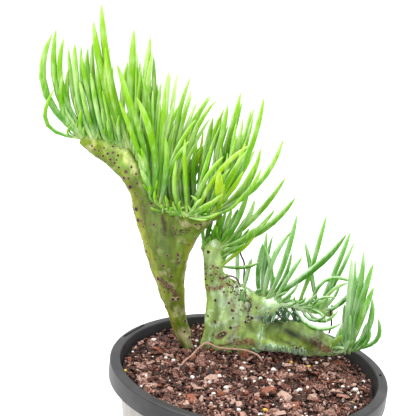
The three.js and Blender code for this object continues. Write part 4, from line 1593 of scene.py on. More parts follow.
@dataclass
class PottingMix:
    """Potting mix: a dark mound under torn bark flakes, perlite and feed granules.

    Half the flakes are splinters. Flakes lie at levels round the mound's face and tilt by radians about X and Y. The
    loose stuff is heaped up a little at the wall.
    """

    edge_height: float = 112.5
    mound: float = 2.2
    mound_radius: float = 78.0
    wall_radius: float = 75.2
    wall_gap: float = 0.6
    heap: float = 2.6
    bed_rings: int = 34
    bed_sides: int = 96
    bed_drop: float = 1.2
    bed_swell: float = 0.8
    floor: float = 2.35
    base_radius: float = 57.45
    chip_count: int = 4600
    small_share: float = 0.84
    small_sizes: Spot = (1.6, 5.0)
    large_sizes: Spot = (6, 12)
    splinter_widths: Spot = (0.14, 0.32)
    flake_widths: Spot = (0.4, 0.85)
    tilts: Spot = (0.85, 0.75)
    levels: Spot = (-1.5, 1.3)
    perlite_count: int = 105
    perlite_radius: float = 71.0
    perlite_sizes: Spot = (0.55, 1.5)
    feed_size: float = 1.25
    feed_spots: tuple[Spot, ...] = ((-62, 31), (-71, -18), (25.5, 22), (36.5, 19), (60.8, -23.7), (12, -48))
    seed: int = 5

    def height(self, distance: float) -> float:
        """Height of the mound at a distance from the middle."""
        return self.edge_height + self.mound * math.cos(min(distance / self.mound_radius, 1) * math.pi / 2)

    def heaped(self, distance: float) -> float:
        """How much higher the loose stuff lies at a distance from the middle."""
        return self.heap * (distance / self.wall_radius) ** 6

    def bed(self) -> None:
        """The dark mass of fines that fills the pot."""
        sketch = Sketch()
        draw = Draw(self.seed)
        turn, swell = turns(self.bed_sides), self.bed_swell
        rings = [[polar(self.base_radius, a, self.floor) for a in turn]]
        for radius in np.linspace(0, self.wall_radius - self.wall_gap, self.bed_rings)[:0:-1]:
            level = self.height(radius) - self.bed_drop
            rings.append([polar(radius, a, level + draw.between(-swell, swell)) for a in turn])
        poles = (np.array([0, 0, self.floor]), np.array([0, 0, self.height(0) - 1]))
        sketch.rings(np.array(rings), (0.02, 0, 0, 0), poles)
        dress("bark_fines", sketch, BARK, Slot.MIX, "potting_mix", shading=Shading.FACETED)

    def chip(self, sketch: Sketch, draw: Draw, stems: BVHTree) -> None:
        """Draws one torn flake of bark, unless it would lie in a stem.

        Args:
            sketch: Where it is drawn.
            draw: Random numbers for its place and shape.
            stems: Search tree over the stems' skins.
        """
        share = draw.unit()
        splinter = draw.unit() < 0.5
        size = mix(*(self.small_sizes if splinter or draw.unit() < self.small_share else self.large_sizes), share)
        distance = math.sqrt(draw.unit()) * (self.wall_radius - 0.5 * size - self.wall_gap)
        angle = draw.unit() * 2 * math.pi
        corners = 5 + int(draw.unit() * 3)
        narrow = draw.between(*(self.splinter_widths if splinter else self.flake_widths))
        thick = draw.between(0.5, 1.0) * (1 + size / 8)
        reach = np.array([draw.between(0.65, 1.15) for _ in range(corners)])
        lifts = np.array([draw.between(-0.3, 0.3) for _ in range(corners)])
        roll, pitch = (draw.between(-most, most) for most in self.tilts)
        spin = draw.unit() * 2 * math.pi
        layer = draw.between(*self.levels) + self.heaped(distance)
        shade = draw.between(0.1, 1.0) ** (1.3 if size < 4 else 1.7)
        rust = max(0.0, draw.unit() - 0.86) * 5
        place = np.array(polar(distance, angle, self.height(distance) + layer))
        # Flakes toward the back are in the stems' shade.
        shade *= 1.12 - 0.3 * min(max(0.5 + place[1] / 60, 0), 1)
        if clearance(stems, place) < size * 0.3 + 0.4:
            return
        turn = turns(corners)
        rim = np.stack([np.cos(turn) * reach * size / 2, np.sin(turn) * reach * size / 2 * narrow], axis=1)
        low = np.column_stack([rim, -thick / 2 + lifts])
        high = np.column_stack([rim * draw.between(0.6, 0.95), thick / 2 + lifts[::-1]])
        around = [Matrix.Rotation(bend, 3, axis) for bend, axis in ((spin, "Z"), (roll, "X"), (pitch, "Y"))]
        tilt = np.array(around[0] @ around[1] @ around[2])
        rings = np.array([low @ tilt.T + place, high @ tilt.T + place])
        poles = (place - tilt[:, 2] * thick * 0.5, place + tilt[:, 2] * thick * 0.6)
        sketch.rings(rings, (shade, min(rust, 0.8), 0, 0), poles)

    def chips(self, stems: BVHTree) -> None:
        """The bark flakes.

        Args:
            stems: Search tree over the stems' skins.
        """
        sketch = Sketch()
        draw = Draw(self.seed + 1)
        for _ in range(self.chip_count):
            self.chip(sketch, draw, stems)
        dress("bark_flakes", sketch, BARK, Slot.MIX, "potting_mix", shading=Shading.FACETED)

    def grain(self, sketch: Sketch, place: np.ndarray, size: float, draw: Draw) -> None:
        """Draws one rounded lump.

        Args:
            sketch: Where it is drawn.
            place: Its middle.
            size: Its radius.
            draw: Random numbers for its shape.
        """
        work = bmesh.new()
        bmesh.ops.create_icosphere(work, subdivisions=2, radius=1)
        shift = draw.between(0, 50)
        stretch = np.array([draw.between(0.8, 1.35), draw.between(0.75, 1.1), draw.between(0.7, 1.0)])
        points = np.array([vertex.co[:] for vertex in work.verts])
        faces = [tuple(v.index for v in face.verts) for face in work.faces]
        work.free()
        bulges = 1 + 0.22 * uneven(points, (0.7, 0.7, 0.7), shift)
        sketch.add(points * bulges[:, None] * stretch * size + place, faces, PLAIN)

    def grains(self, stems: BVHTree) -> None:
        """The perlite and the feed granules.

        Args:
            stems: Search tree over the stems' skins.
        """
        draw = Draw(self.seed + 2)
        white, yellow = Sketch(), Sketch()
        for _ in range(self.perlite_count):
            distance = math.sqrt(draw.unit()) * self.perlite_radius
            angle = draw.unit() * 2 * math.pi
            size = mix(*self.perlite_sizes, draw.unit() ** 1.8)
            place = np.array(polar(distance, angle, self.height(distance) + 1.1 + self.heaped(distance)))
            if clearance(stems, place) > size + 0.3:
                self.grain(white, place, size, draw)
        for x, y in self.feed_spots:
            place = np.array([x, y, self.height(math.hypot(x, y)) + 1.3])
            self.grain(yellow, place, self.feed_size, draw)
        dress("perlite_grains", white, PERLITE, Slot.MIX, "potting_mix")
        dress("feed_granules", yellow, FEED, Slot.MIX, "potting_mix")

    def build(self, stems: BVHTree) -> None:
        """Fills the pot round the stems.

        Args:
            stems: Search tree over the stems' skins.
        """
        self.bed()
        self.chips(stems)
        self.grains(stems)


@dataclass
class DryRoot:
    """Dry root that lies over the mix in front of both stems."""

    radius: float = 0.7
    flat: float = 0.85
    rows: int = 90
    sides: int = 10
    seed: int = 47
    path: tuple[Place, ...] = (
        (-42, -8, 108), (-39, -2, 116.5), (-35, 8, 117.5), (-31, 17, 120), (-27, 21, 121.5), (-20, 22, 119),
        (-10, 23, 119), (-2, 24, 118.5), (6, 20, 117), (11, 17, 109),
    )

    def build(self) -> None:
        """Makes the root, a little flattened and uneven."""
        spine = smooth_path(self.path, self.rows)
        draw = Draw(self.seed)
        radii = np.array([self.radius * draw.between(0.8, 1.1) for _ in spine])
        sketch = Sketch()
        sketch.tube(spine, radii, self.sides, np.array([0, 0, 1]), (0.55, 0, 0, 0), self.flat)
        dress("dry_root_thread", sketch, DRY_ROOT, Slot.ROOT, "surface_root")


@dataclass
class DryBits:
    """Dead stalks, each with its shade and path, and wilted shreds that cling to the short stem."""

    stalks: tuple[tuple[float, tuple[Place, ...]], ...] = (
        (0.1, ((-14.8, 34, 185.6), (-13, 34, 176.7), (-10.2, 34, 170.8), (-9.2, 34, 157))),
        (0.4, ((-22.5, 30, 160.5), (-18.3, 29, 163.6), (-14.1, 30, 162.3), (-11.6, 31, 158.5))),
        (0.1, ((46, 36, 147), (47.5, 34, 138.8), (46.9, 36, 132))),
    )
    stalk_radius: float = 0.55
    stalk_rows: int = 24
    stalk_sides: int = 8
    shred_count: int = 44
    shred_seed: int = 61
    shred_top: tuple[Place, ...] = ((0.4, 33, 141.7), (8.8, 33, 144.2), (17.3, 33, 145.9), (25.9, 33, 145.8))
    shred_foot: tuple[Place, ...] = ((0, 32, 134.7), (8.6, 32, 135.2), (18.3, 32, 137.2), (29.5, 32, 136.7))

    def tangle(self) -> None:
        """Wilted shreds of leaf that hang between the low ridge and the bulge."""
        sketch = Sketch()
        draw = Draw(self.shred_seed)
        top, foot = np.array(self.shred_top, float), np.array(self.shred_foot, float)
        for _ in range(self.shred_count):
            share = draw.unit()
            start = along(top, share * (len(top) - 1)) + (draw.between(-2, 2), draw.between(-2, 3), draw.between(-1, 1))
            far = min(max(share + draw.between(-0.3, 0.3), 0), 1)
            end = along(foot, far * (len(foot) - 1)) + (0, draw.between(-2, 2), draw.between(-1, 1))
            knee = (start + end) / 2 + (draw.between(-3, 3), draw.between(-2, 1), draw.between(-2, 2))
            radii = draw.between(0.35, 0.8) * np.array([0.7, 0.9, 1, 1, 1, 0.9, 0.7, 0.5, 0.3])
            spine = smooth_path((start, knee, end), len(radii))
            # The darker shreds also stand in for the shade in the gap under the ridge: painted shade.
            sketch.tube(spine, radii, SHRED_SIDES, TILTED, (draw.unit() ** 1.4, 0, 0, 0))
        dress("wilted_shreds", sketch, DEBRIS, Slot.SHORT_STEM)

    def build(self) -> None:
        """Makes the shreds and the stalks."""
        self.tangle()
        sketch = Sketch()
        for shade, path in self.stalks:
            spine = smooth_path(path, self.stalk_rows)
            radii = np.full(len(spine), self.stalk_radius)
            sketch.tube(spine, radii, self.stalk_sides, THROUGH, (shade, 0, 0, 0))
        dress("dead_stalks", sketch, CORK, Slot.SHORT_STEM)


@dataclass
class Camera:
    """Camera at the photograph's viewpoint, a little above the leaves, looking down into the pot."""

    place: Place = (0.0, -596.81, 377.52)
    right: Place = (0.99132, 0.08428, 0.10090)
    up: Place = (-0.11951, 0.25796, 0.95873)
    lens: float = 93.65

    def build(self) -> None:
        """Puts the camera in the scene."""
        data = bpy.data.cameras.new("viewpoint")
        data.lens = self.lens
        data.sensor_width = 36
        data.clip_start, data.clip_end = 0.01, 100
        camera = placed("viewpoint", data)
        right, up = Vector(self.right).normalized(), Vector(self.up).normalized()
        back = right.cross(up).normalized()
        turn = Matrix((right, up, back)).transposed()
        camera.matrix_world = Matrix.Translation(Vector(self.place) * METRES) @ turn.to_4x4()
        bpy.context.scene.camera = camera


@dataclass
class Studio:
    """Plain pale floor under a large overhead softbox, with soft fill all round.

    Lengths here are in metres, the floor's from its middle to each side. Each lamp has its name, its power in watts,
    its side, its place and where it faces.
    """

    floor_reach: float = 12.0
    sky: float = 1.08
    lamps: tuple[tuple[str, float, float, Place, Place], ...] = (
        ("overhead_softbox", 30.0, 1.6, (-0.35, 0.15, 1.7), (0, 0.03, 0.2)),
        ("front_softbox", 7.0, 0.9, (0.7, -1.4, 0.9), (0, 0, 0.18)),
    )

    def lamp(self, name: str, power: float, size: float, place: Place, aim: Place) -> None:
        """Adds a square softbox.

        Args:
            name: Its name.
            power: Its power in watts.
            size: Its side in metres.
            place: Where it hangs, in metres.
            aim: The point it faces.
        """
        data = bpy.data.lights.new(name, "AREA")
        data.energy, data.size, data.color = power, size, (1.0, 0.99, 0.97)
        lamp = placed(name, data)
        lamp.location = place
        lamp.rotation_euler = (Vector(aim) - Vector(place)).to_track_quat("-Z", "Y").to_euler()

    def build(self) -> None:
        """Lays the floor and hangs the lights."""
        mesh = bpy.data.meshes.new("studio_floor")
        half = self.floor_reach
        mesh.from_pydata([(-half, -half, 0), (half, -half, 0), (half, half, 0), (-half, half, 0)], [], [(0, 1, 2, 3)])
        finished("studio_floor", mesh, PAPER, Shading.FACETED)
        world = bpy.data.worlds.new("soft_sky")
        world.use_nodes = True
        glow = world.node_tree.nodes["Background"]
        glow.inputs["Color"].default_value = srgb("#ffffff")
        glow.inputs["Strength"].default_value = self.sky
        bpy.context.scene.world = world
        for lamp in self.lamps:
            self.lamp(*lamp)
        bpy.context.scene.view_settings.view_transform = "Standard"


TALL_STEM = FannedStem(
    name="tall_stem",
    slot=Slot.TALL_STEM,
    finish=OLIVE_STEM,
    strand=tall_strand,
    radii=STRAND_RADII,
    fan_places=(WING_END, TALL_FRONT_END),
    thickness=(3.7, 4.6, 3.7),
    loose=((0.35, 2.4, 7), (9.6, 15.0, 18)),
    edge=TALL_EDGE,
    front=22.0,
    patches=(
        (Layer.WAX, -58, 186, 13, 24, 0.5), (Layer.WAX, -72, 214, 9, 12, 0.5), (Layer.CORK, -36, 113, 12, 5, 0.5),
    ),
    picked_scars=(
        (-81.9, 206, 0.66, 0.35), (-77, 202.9, 0.66, 0.7), (-83.2, 198.5, 1.15, 0.2), (-85.5, 210.9, 1.15, 0.2),
        (-80.3, 191.7, 1.15, 0.2), (-76.2, 188.6, 0.76, 0.45), (-68.8, 186.8, 0.71, 0.7), (-66.5, 192.4, 0.85, 0.4),
        (-73.6, 193.7, 0.85, 0.6), (-59.8, 184.8, 0.66, 0.5), (-54.6, 192.1, 0.85, 0.5), (-69.5, 175.1, 0.85, 0.3),
        (-56.6, 174, 0.76, 0.45), (-63.3, 171.2, 0.76, 0.4), (-58.5, 167.3, 0.95, 0.5), (-53.1, 161.1, 0.9, 0.35),
        (-45.3, 158.9, 1.15, 0.3), (-62.8, 157.2, 1.15, 0.15), (-56.2, 150.9, 0.85, 0.45), (-53.9, 154.9, 0.85, 0.6),
        (-50.6, 146.6, 1.28, 0.6), (-47.6, 147.3, 1.23, 0.6), (-54.7, 141.2, 1.15, 0.3), (-48.7, 131.4, 0.81, 0.3),
        (-39.5, 133.4, 0.76, 0.3), (-41.7, 126.7, 0.9, 0.75), (-35, 122.7, 0.81, 0.4), (-53.2, 188.2, 0.66, 0.05),
        (-50.3, 190.6, 0.66, 0.05), (-45.3, 191.5, 0.71, 0.05), (-41.6, 195.5, 0.62, 0.05), (-38.3, 195.9, 0.57, 0.05),
        (-41.2, 186.9, 0.66, 0.15), (-44.6, 182.4, 0.71, 0.3), (-50.3, 175.2, 0.76, 0.35), (-50.3, 172.7, 0.66, 0.3),
        (-69.3, 205.1, 0.66, 0.05), (-62.8, 178.7, 0.57, 0.5), (-78.5, 197.8, 0.52, 0.4), (-75.4, 207.7, 0.66, 0.55),
        (-69.3, 180, 0.57, 0.45), (-46.2, 171.3, 0.52, 0.4), (-83.8, 208, 0.52, 0.3), (-67.8, 214.3, 0.66, 0.4),
        (-71.1, 211.5, 0.57, 0.5), (-86.8, 218.8, 0.85, 0.35), (-82.9, 226, 0.71, 0.35), (-78.5, 216.5, 0.95, 0.5),
        (-86.1, 222.8, 0.95, 0.45), (-84.1, 218.8, 0.76, 0.5), (-79.8, 222.1, 0.66, 0.4), (-90.3, 224.8, 0.71, 0.4),
        (-93.1, 227.2, 0.76, 0.55), (-95.7, 229, 0.85, 0.6), (-94.6, 233.3, 0.81, 0.65), (-97.6, 232.4, 0.81, 0.6),
        (-100.3, 230.6, 0.76, 0.6), (-102.9, 233.6, 0.66, 0.6), (-100.1, 235.5, 0.66, 0.65), (-105.4, 233.9, 0.66, 0.5),
        (-91.4, 232, 0.76, 0.6), (-94.8, 237, 0.66, 0.7), (-90.4, 236.6, 0.57, 0.5), (-107.3, 235.8, 0.57, 0.5),
        (-92.1, 229.2, 0.57, 0.6), (-98.6, 227.5, 0.57, 0.6), (-103, 230, 0.57, 0.5),
    ),
    scar_count=110,
    washes=(
        *strokes(
            Layer.WAX,
            (0.75, 6.5, (-71.9, 213.2), (-64.2, 194.3), (-58.4, 177.4)),
            (0.65, 5, (-50.8, 194.1), (-48.4, 181.8), (-49.8, 170.8)),
            (0.7, 4.5, (-51.7, 190.8), (-45.6, 190.3), (-39.4, 188.6)),
            (0.7, 3.5, (-96, 228.7), (-88.3, 222.9), (-82.9, 215.6)), (1, 4.2, (-97.3, 230.4), (-87.1, 222.4)),
            (0.8, 2.8, (-103.8, 236.9), (-95.3, 236.1), (-88.5, 232.6), (-81.9, 224.9), (-76.4, 217)),
        ),
        *strokes(
            Layer.OLIVE,
            (0.85, 3.2, (-82.9, 208.8), (-77.5, 193.9), (-69.8, 175.9), (-61.5, 157.7), (-53.7, 139.3), (-45.5, 118.6)),
            (0.9, 3.0, (-43.2, 183.7), (-44.2, 169.6), (-43.9, 153.6), (-40.5, 137.7), (-35.6, 125.2)),
            (0.6, 2.4, (-88.7, 220.4), (-83.8, 211.8)),
        ),
        *strokes(
            Layer.CORK,
            (0.8, 1.3, (-61.6, 199.6), (-59, 191.2)), (0.6, 1.6, (-74.3, 203), (-72.5, 195.7)),
            (0.95, 2.4, (-59, 157.4), (-55.1, 154.7), (-51.1, 152), (-48.4, 149.1)),
            (0.6, 1.6, (-50.4, 177.1), (-49.8, 170.8)),
        ),
        *strokes(
            Layer.POWDER,
            (0.5, 3.5, (-91.7, 235.3), (-85.7, 228.1), (-79.8, 221.5)), (0.85, 5, (-42.9, 123.6), (-34.2, 117.5)),
        ),
        # Painted shade under the crown and in the creases, and painted light on the lit side; some strokes only lighten
        # or darken the skin's own colour.
        *strokes(
            Layer.PAINTED_LIGHT_AND_TONE,
            (-0.3, 4, (-59.4, 188.6), (-54.7, 170.2), (-52.7, 162.1)),
            (-0.35, 1.4, (-61.4, 197.8), (-59.8, 193), (-58.7, 188.1)), (-0.4, 2.2, (-53.9, 188.7), (-45.7, 191)),
            (0.2, 5, (-77.9, 192.5), (-72.8, 181.9)), (0.25, 2.4, (-57.6, 155.7), (-51.1, 152)),
            (0.18, 3, (-47.7, 134.8), (-41.7, 124.4)), (0.2, 4.5, (-49.4, 191.8), (-40.7, 189.1)),
            (-0.13, 4, (-71.1, 197.2), (-63.5, 187.4)), (0.2, 4.2, (-97.2, 229.7), (-85.7, 220.1)),
            (0.1, 5, (-58.3, 169.7), (-52.6, 160.8)),
            (0.8, 6, (-113.4, 236.9), (-100, 234.3), (-91.4, 231.7), (-86.2, 226.2)),
            (0.3, 3, (-95.3, 235.5), (-87.8, 231.5), (-81.1, 223.2), (-75.6, 215.2)),
            (-0.3, 2.5, (-70, 205.4), (-67.2, 200.8)),
        ),
    ),
    crumbs=(
        Crumbs(38, 2.0, 0.68, (0.15, 0.75), ((-58.6, 157), (-54.5, 154.4), (-50.8, 151))),
        Crumbs(30, 2.2, 0.6, (0.0, 0.2), ((-53.9, 188.7), (-44.5, 191.4))),
        Crumbs(26, 3.4, 0.4, (0.1, 0.7), ((-75, 205), (-68, 186), (-62, 170))),
        Crumbs(8, 1.0, 0.5, (0.0, 0.3), ((-61.1, 197.8), (-59.1, 192.4))),
        Crumbs(6, 1.2, 0.5, (0.0, 0.3), ((-69.4, 205.5), (-67.2, 201.4))),
        Crumbs(6, 1.0, 0.5, (0.4, 0.8), ((-74.3, 202.7), (-72.6, 196))),
        Crumbs(5, 1.0, 0.45, (0.0, 0.2), ((-41.9, 195.8), (-37.7, 195.7))),
    ),
)
SHORT_STEM = FannedStem(
    name="short_stem",
    slot=Slot.SHORT_STEM,
    finish=PALE_STEM,
    strand=short_strand,
    radii=LOBE_RADII,
    fan_places=(LOBE_END, FAN_END),
    thickness=(5.2, 5.4, 4.2),
    loose=((0.9, 5.0, 10),),
    edge=SHORT_EDGE,
    front=30.0,
    ropes=(
        (
            (-6, 37, 116, 4), (2, 34, 121, 6.5), (13, 32, 127, 9.5), (24, 32, 128.5, 10.5), (34, 34, 126.5, 10),
            (43, 37, 123.5, 7.5), (49, 39, 121.5, 5.5), (53.5, 40, 118.5, 3.2),
        ),
        (
            (7, 34, 151.5, 3.0), (15, 36, 147.5, 3.0), (24, 37, 147.3, 3.0), (33, 38, 146, 3), (41, 38.5, 144.8, 2.7),
            (48, 39, 143.3, 2.2),
        ),
        ((-13, 35, 140, 6), (-13, 34, 149, 6), (-12, 33.5, 154, 4.2)),
        ((1, 35, 138, 4.4), (3, 34, 146, 4.2), (5, 33.5, 151, 3.4)),
    ),
    patches=(
        (Layer.WAX, -16, 142, 13, 22, 0.5), (Layer.WAX, -30, 172, 9, 12, 0.5),
        (Layer.WAX, 20, 148, 30, 7, 0.7), (Layer.OLIVE, 44, 131, 10, 7, 0.4),
    ),
    picked_scars=(
        (-32.6, 176.9, 0.85, 0.1), (-36.4, 167.6, 0.85, 0.25), (-28.9, 168.3, 0.6, 0.3), (-25.8, 167.5, 0.6, 0.3),
        (-32.7, 162.7, 0.7, 0.4), (-29.5, 162.4, 0.6, 0.3), (-26.6, 163.5, 0.6, 0.2), (-23.9, 161.2, 0.6, 0.2),
        (-32.6, 159.4, 0.7, 0.3), (-25.2, 146.5, 0.9, 0.45), (-16.7, 145.8, 0.75, 0.6), (-14, 141.4, 1.1, 0.75),
        (-23.8, 132.4, 1.15, 0.5), (-14, 129.8, 0.9, 0.4), (-19, 124.6, 2.9, 0.75), (-20.5, 152.5, 0.6, 0.2),
        (-17.9, 157.4, 0.6, 0.3), (-12.9, 156.8, 0.7, 0.5), (-10.8, 148.6, 0.7, 0.6), (-28.5, 158.7, 0.6, 0.4),
        (-31.3, 155.7, 0.6, 0.35), (-8.6, 151.5, 0.6, 0.5), (-4.9, 134.9, 0.9, 0.5), (-1.5, 138, 0.9, 0.4),
        (-13.2, 136.4, 0.6, 0.5), (-28.7, 135.6, 0.6, 0.5), (-30.4, 128.1, 0.6, 0.4),
    ),
    scar_count=50,
    scar_seed=97,
    washes=(
        *strokes(
            Layer.WAX,
            (0.9, 6, (-21.2, 147.2), (-11.4, 148.5), (-11.6, 138.6)),
            (0.9, 2.0, (28.6, 134.1), (37.7, 130.7), (44.5, 126.3)), (0.8, 3.5, (29, 131.5), (36.8, 128.5)),
        ),
        *strokes(
            Layer.OLIVE,
            (0.75, 2.2, (-34.6, 170.2), (-31, 152.5), (-31.4, 137.9), (-32.2, 120.5)),
            (0.6, 3.2, (8.4, 127.3), (18, 130), (24.2, 129.5)), (0.85, 5, (11.7, 130.5), (22.6, 133.3), (37, 126.6)),
        ),
        *strokes(
            Layer.CORK,
            (0.45, 2.0, (-15.8, 120), (-8.3, 131.7), (-4, 137.6)),
            (0.85, 1.7, (-31.1, 153.8), (-25.5, 153.5), (-21, 157)),
            (0.5, 2.2, (-29.4, 167), (-25.2, 162.3), (-19.7, 157.2)),
            (0.45, 1.6, (-10.7, 159), (-8.6, 150.8), (-7.5, 141.1)),
            (0.5, 2.2, (-21.8, 153.7), (-15.1, 148), (-11.8, 140.6)), (0.7, 3.4, (-9.6, 120.2), (0.1, 122.9)),
            (0.75, 3.2, (37.8, 130), (43.4, 124.8), (48.6, 122.8)),
        ),
        *strokes(
            Layer.POWDER,
            (0.42, 1.8, (-27.1, 119.8), (-21.2, 135.3), (-17.1, 149.7)),
            (0.36, 1.5, (-25.7, 118.7), (-17.2, 133.2), (-9.7, 144.8)), (0.75, 3, (-13.5, 156.1), (-7.1, 154.3)),
            (0.7, 2.0, (-10.7, 153.8), (-6.5, 149.1), (-3.4, 143)),
            (0.9, 3.2, (6.9, 150.3), (15.3, 152), (24.1, 150.6)), (0.6, 2.4, (11.8, 150.9), (21.6, 150.9)),
            (1, 2.4, (6.7, 120.4), (15, 118.9), (24.2, 119.5), (32, 121.9)),
        ),
        # Painted shade in the notch, under the low ridge and over the top of the bulge, and painted light on the lit
        # faces of the ridge and the dome; some strokes only lighten or darken the skin's own colour.
        *strokes(
            Layer.PAINTED_LIGHT_AND_TONE,
            (-0.25, 1.6, (-28.4, 121), (-24.6, 132.2), (-21.6, 139.2)),
            (-0.22, 1.1, (-24.6, 120.2), (-18.1, 130.4), (-11.3, 136.6)),
            (-0.2, 1.1, (-28.4, 126.4), (-25.3, 138.7), (-23.1, 148.3)), (-0.2, 4.5, (-31.8, 166.7), (-27.3, 158.2)),
            (-0.55, 1.9, (-4.1, 149.5), (-5, 140.8), (-0.7, 130.1)), (0.25, 2.0, (-8, 151.6), (-4.3, 145.5)),
            (-0.5, 2.2, (0.8, 138.9), (7.2, 137.1), (15.8, 137.6)),
            (-0.42, 2.8, (7.7, 133.2), (19.9, 134.9), (30.1, 132.3), (39.4, 126.9)),
            (-0.3, 1.1, (1.9, 129.1), (11.9, 129.1), (23.3, 127.4), (32.5, 123.3)),
            (-0.25, 1.0, (3.8, 124), (11.3, 123.1), (19, 121.4)),
            (0.28, 2.0, (2.2, 126.5), (9.7, 126.2), (17.4, 124.6)),
            (-0.34, 4.2, (5.9, 138.3), (18.1, 139.3), (30.7, 137), (41.4, 131.2)),
            (-0.26, 5, (22.5, 133.9), (30.3, 130.3), (37, 126.6)), (-0.14, 3, (39, 130.2), (45.8, 125.8)),
            (-0.3, 3.0, (9.2, 130.8), (16.7, 130.5), (23, 129.3)),
            (0.24, 2.2, (6.4, 123.1), (13.9, 122.7), (20, 123.6)), (0.36, 3.4, (6.9, 150.9), (21.7, 150.3)),
            (0.4, 2.6, (-30.2, 144.7), (-29.5, 131.5), (-29.4, 118.2)), (0.2, 1.8, (21.5, 121.1), (32.5, 122.6)),
            (-0.2, 1.0, (19.9, 134.9), (27.7, 132), (34.4, 127.5)),
            (-0.28, 0.9, (14.1, 131.4), (22, 127.9), (28.6, 124.1)),
            (0.16, 3.0, (7.2, 126.5), (14.5, 128.2), (22, 127.9)), (0.12, 3.5, (5.8, 127.7), (14.9, 124.9)),
            (0.3, 3, (8.9, 122.7), (23.9, 122.1)), (-0.3, 2.6, (27.4, 123.9), (37.6, 122)),
        ),
    ),
    crumbs=(
        Crumbs(46, 4.2, 0.5, (0.1, 0.8), ((-28.8, 167.1), (-25.1, 161.1))),
        Crumbs(30, 1.4, 0.6, (0.3, 0.9), ((-31.1, 153.8), (-25.5, 153.5), (-21, 157))),
        Crumbs(60, 4.6, 0.55, (0.0, 0.9), ((-18, 158.1), (-12, 153.7), (-5.9, 149.2))),
        Crumbs(52, 5.2, 0.6, (0.0, 0.75), ((-11.2, 158.3), (-8.5, 150.2), (-5.5, 140.1))),
        Crumbs(44, 4.2, 0.5, (0.1, 0.8), ((-21.3, 160.3), (-15.9, 155.8), (-11.6, 150.4))),
        Crumbs(26, 2.2, 0.55, (0.0, 0.4), ((4.3, 140.7), (14.2, 140.7), (23.1, 138.6))),
        Crumbs(20, 2.0, 0.5, (0.1, 0.6), ((27.7, 131.3), (35.7, 127.1))),
        Crumbs(30, 3.0, 0.42, (0.0, 0.6), ((-33, 166.5), (-28.5, 158.7))),
        Crumbs(26, 2.4, 0.6, (0.75, 1.0), ((-12.1, 155), (-5, 141.5), (-5.7, 130.8)), pale=True),
        Crumbs(30, 2.6, 0.7, (0.2, 0.9), ((-10.8, 120), (0.2, 122.2))),
        Crumbs(70, 2.8, 0.65, (0.0, 0.7), ((36.6, 129.8), (43.4, 124.8), (51.2, 121.8))),
        Crumbs(46, 2.0, 0.48, (0.4, 0.8), ((6.7, 120.4), (19.4, 118.1), (32.8, 120.6)), pale=True),
        Crumbs(24, 1.8, 0.55, (0.55, 1.0), ((3, 141.9), (12.9, 141.2), (22.6, 143.2)), pale=True),
        Crumbs(18, 2.0, 0.6, (0.0, 0.4), ((25.1, 122.3), (37.8, 120.7))),
    ),
    shreds=(
        Shred(0.6, 0.7, ((5.8, 133), (5.2, 127.6), (4.2, 120.1)), pale=True),
        Shred(1.0, 0.75, ((1.3, 118.3), (4, 116.7), (6.9, 113)), pale=True),
        Shred(0.5, 0.8, ((1.1, 142.3), (6.2, 145.6), (11, 146.9)), pale=True),
        Shred(0.45, 0.3, ((-7.3, 150.4), (-3.2, 147), (-4.4, 141.5))),
        Shred(0.45, 0.45, ((-19.9, 158.5), (-15.3, 156.5), (-16.1, 151.8))),
        Shred(0.4, 0.6, ((-9.3, 157.9), (-6.9, 152.4), (-7.5, 147))),
        Shred(0.5, 0.5, ((-25.7, 118.7), (-18.1, 117.7), (-10.9, 120.7))),
        # The ragged fringe along the foot of the bulge.
        *(
            Shred(
                0.42 + 0.09 * (k % 4),
                0.68 + 0.05 * (k % 5),
                (
                    (8 + 1.7 * k, 121.4 + 0.7 * (k % 3)),
                    (8.8 + 1.7 * k - 0.8 * (k % 2), 119.2),
                    (7.6 + 1.7 * k + 0.9 * (k % 3), 117.4 - 0.9 * (k % 2)),
                ),
                pale=True,
            )
            for k in range(16)
        ),
    ),
)
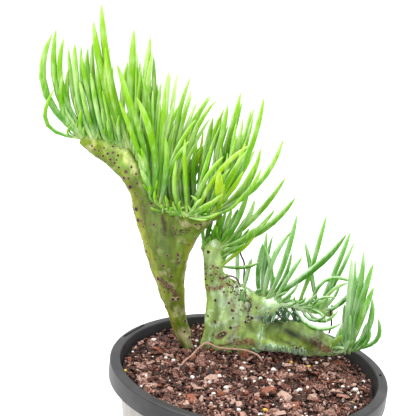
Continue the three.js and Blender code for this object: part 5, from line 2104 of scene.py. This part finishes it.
COMBS = (
    LeafComb(
        node="tall_crown",
        slot=Slot.TALL_LEAF,
        finish=LIME_LEAF,
        edge=TALL_EDGE,
        growth=tall_growth,
        span=(0.0, 15.0),
        slim_places=(5.2, 10.3),
        picked=TALL_LEAVES,
        ranks=(
            Rank(0.4, 4.9, 32, 11, 0.5, 0.95, 2, 6, lean=8, girth=0.8),
            Rank(5.0, 10.0, 8, 17, 0.5, 0.95, 2, 7, lean=10, girth=0.7),
            Rank(10.0, 14.9, 40, 13, 0.55, 1.0, 2, 7, lean=16, girth=0.82),
            Rank(0.5, 5.2, 16, 19, 0.3, 0.7, 3, 9, lean=12, girth=0.72),
            Rank(9.8, 14.8, 14, 21, 0.3, 0.7, 3, 9, lean=14, girth=0.72),
            Rank(0.1, 5.0, 46, 29, 0.1, 0.34, 1, 4, lean=14, girth=0.5),
            Rank(5.0, 10.0, 14, 31, 0.12, 0.34, 1, 5, lean=20, girth=0.5),
            Rank(4.2, 10.3, 14, 83, 0.25, 0.5, 5, 9, lean=14, girth=0.54, droop=8.0),
            Rank(10.0, 14.9, 28, 35, 0.1, 0.34, 1, 5, lean=16, girth=0.55),
        ),
        seed=131,
    ),
    LeafComb(
        node="upper_crown",
        slot=Slot.SHORT_LEAF,
        finish=FRESH_LEAF,
        edge=SHORT_EDGE,
        growth=edge_growth(SHORT_EDGE),
        span=(0.8, 4.9),
        picked=UPPER_LEAVES,
        ranks=(
            Rank(1.6, 4.8, 18, 23, 0.45, 1.0, 2, 7, lean=10, girth=0.85),
            Rank(0.9, 4.8, 22, 31, 0.15, 0.4, 1, 4, lean=16, girth=0.6),
        ),
        seed=137,
    ),
    LeafComb(
        node="low_crown",
        slot=Slot.SHORT_LEAF,
        finish=GREEN_LEAF,
        edge=SHORT_EDGE,
        growth=edge_growth(SHORT_EDGE),
        span=(8.6, 14.6),
        picked=LOW_LEAVES,
        ranks=(
            Rank(9.4, 14.2, 8, 37, 0.35, 0.8, 3, 8, girth=0.66),
            Rank(8.8, 14.8, 34, 41, 0.1, 0.28, 1, 5, lean=18, girth=0.55),
        ),
        seed=139,
    ),
    LeafComb(
        node="rim_crown",
        slot=Slot.SHORT_LEAF,
        finish=GREEN_LEAF,
        edge=RIM_EDGE,
        growth=edge_growth(RIM_EDGE),
        span=(0.6, 3.0),
        bloom_share=0.75,
        picked=RIM_LEAVES,
        ranks=(
            Rank(1.3, 2.9, 9, 53, 0.35, 0.9, 2, 7, lean=9, girth=0.8),
            Rank(0.4, 3.0, 24, 59, 0.1, 0.32, 1, 5, lean=16, girth=0.55),
        ),
        seed=149,
    ),
)


def stem_tree(pieces: Sequence[bpy.types.Object]) -> BVHTree:
    """Search tree over the stems' skins, in millimetres, so that the mix stays clear of them.

    Args:
        pieces: The skins.

    Returns:
        The tree.
    """
    points: list[Vector] = []
    faces: list[tuple[int, ...]] = []
    for piece in pieces:
        start = len(points)
        points.extend(Vector(row) for row in points_of(piece.data))
        faces.extend(tuple(start + n for n in face.vertices) for face in piece.data.polygons)
    return BVHTree.FromPolygons(points, faces)


def main() -> None:
    """Builds the studio and every piece in order."""
    logging.basicConfig(level=logging.INFO, format="%(message)s")
    Camera().build()
    Studio().build()
    NurseryPot().build()
    stems = [TALL_STEM.build(), SHORT_STEM.build()]
    for comb in COMBS:
        comb.build()
    PottingMix().build(stem_tree(stems))
    DryRoot().build()
    DryBits().build()


if __name__ == "__main__":
    main()
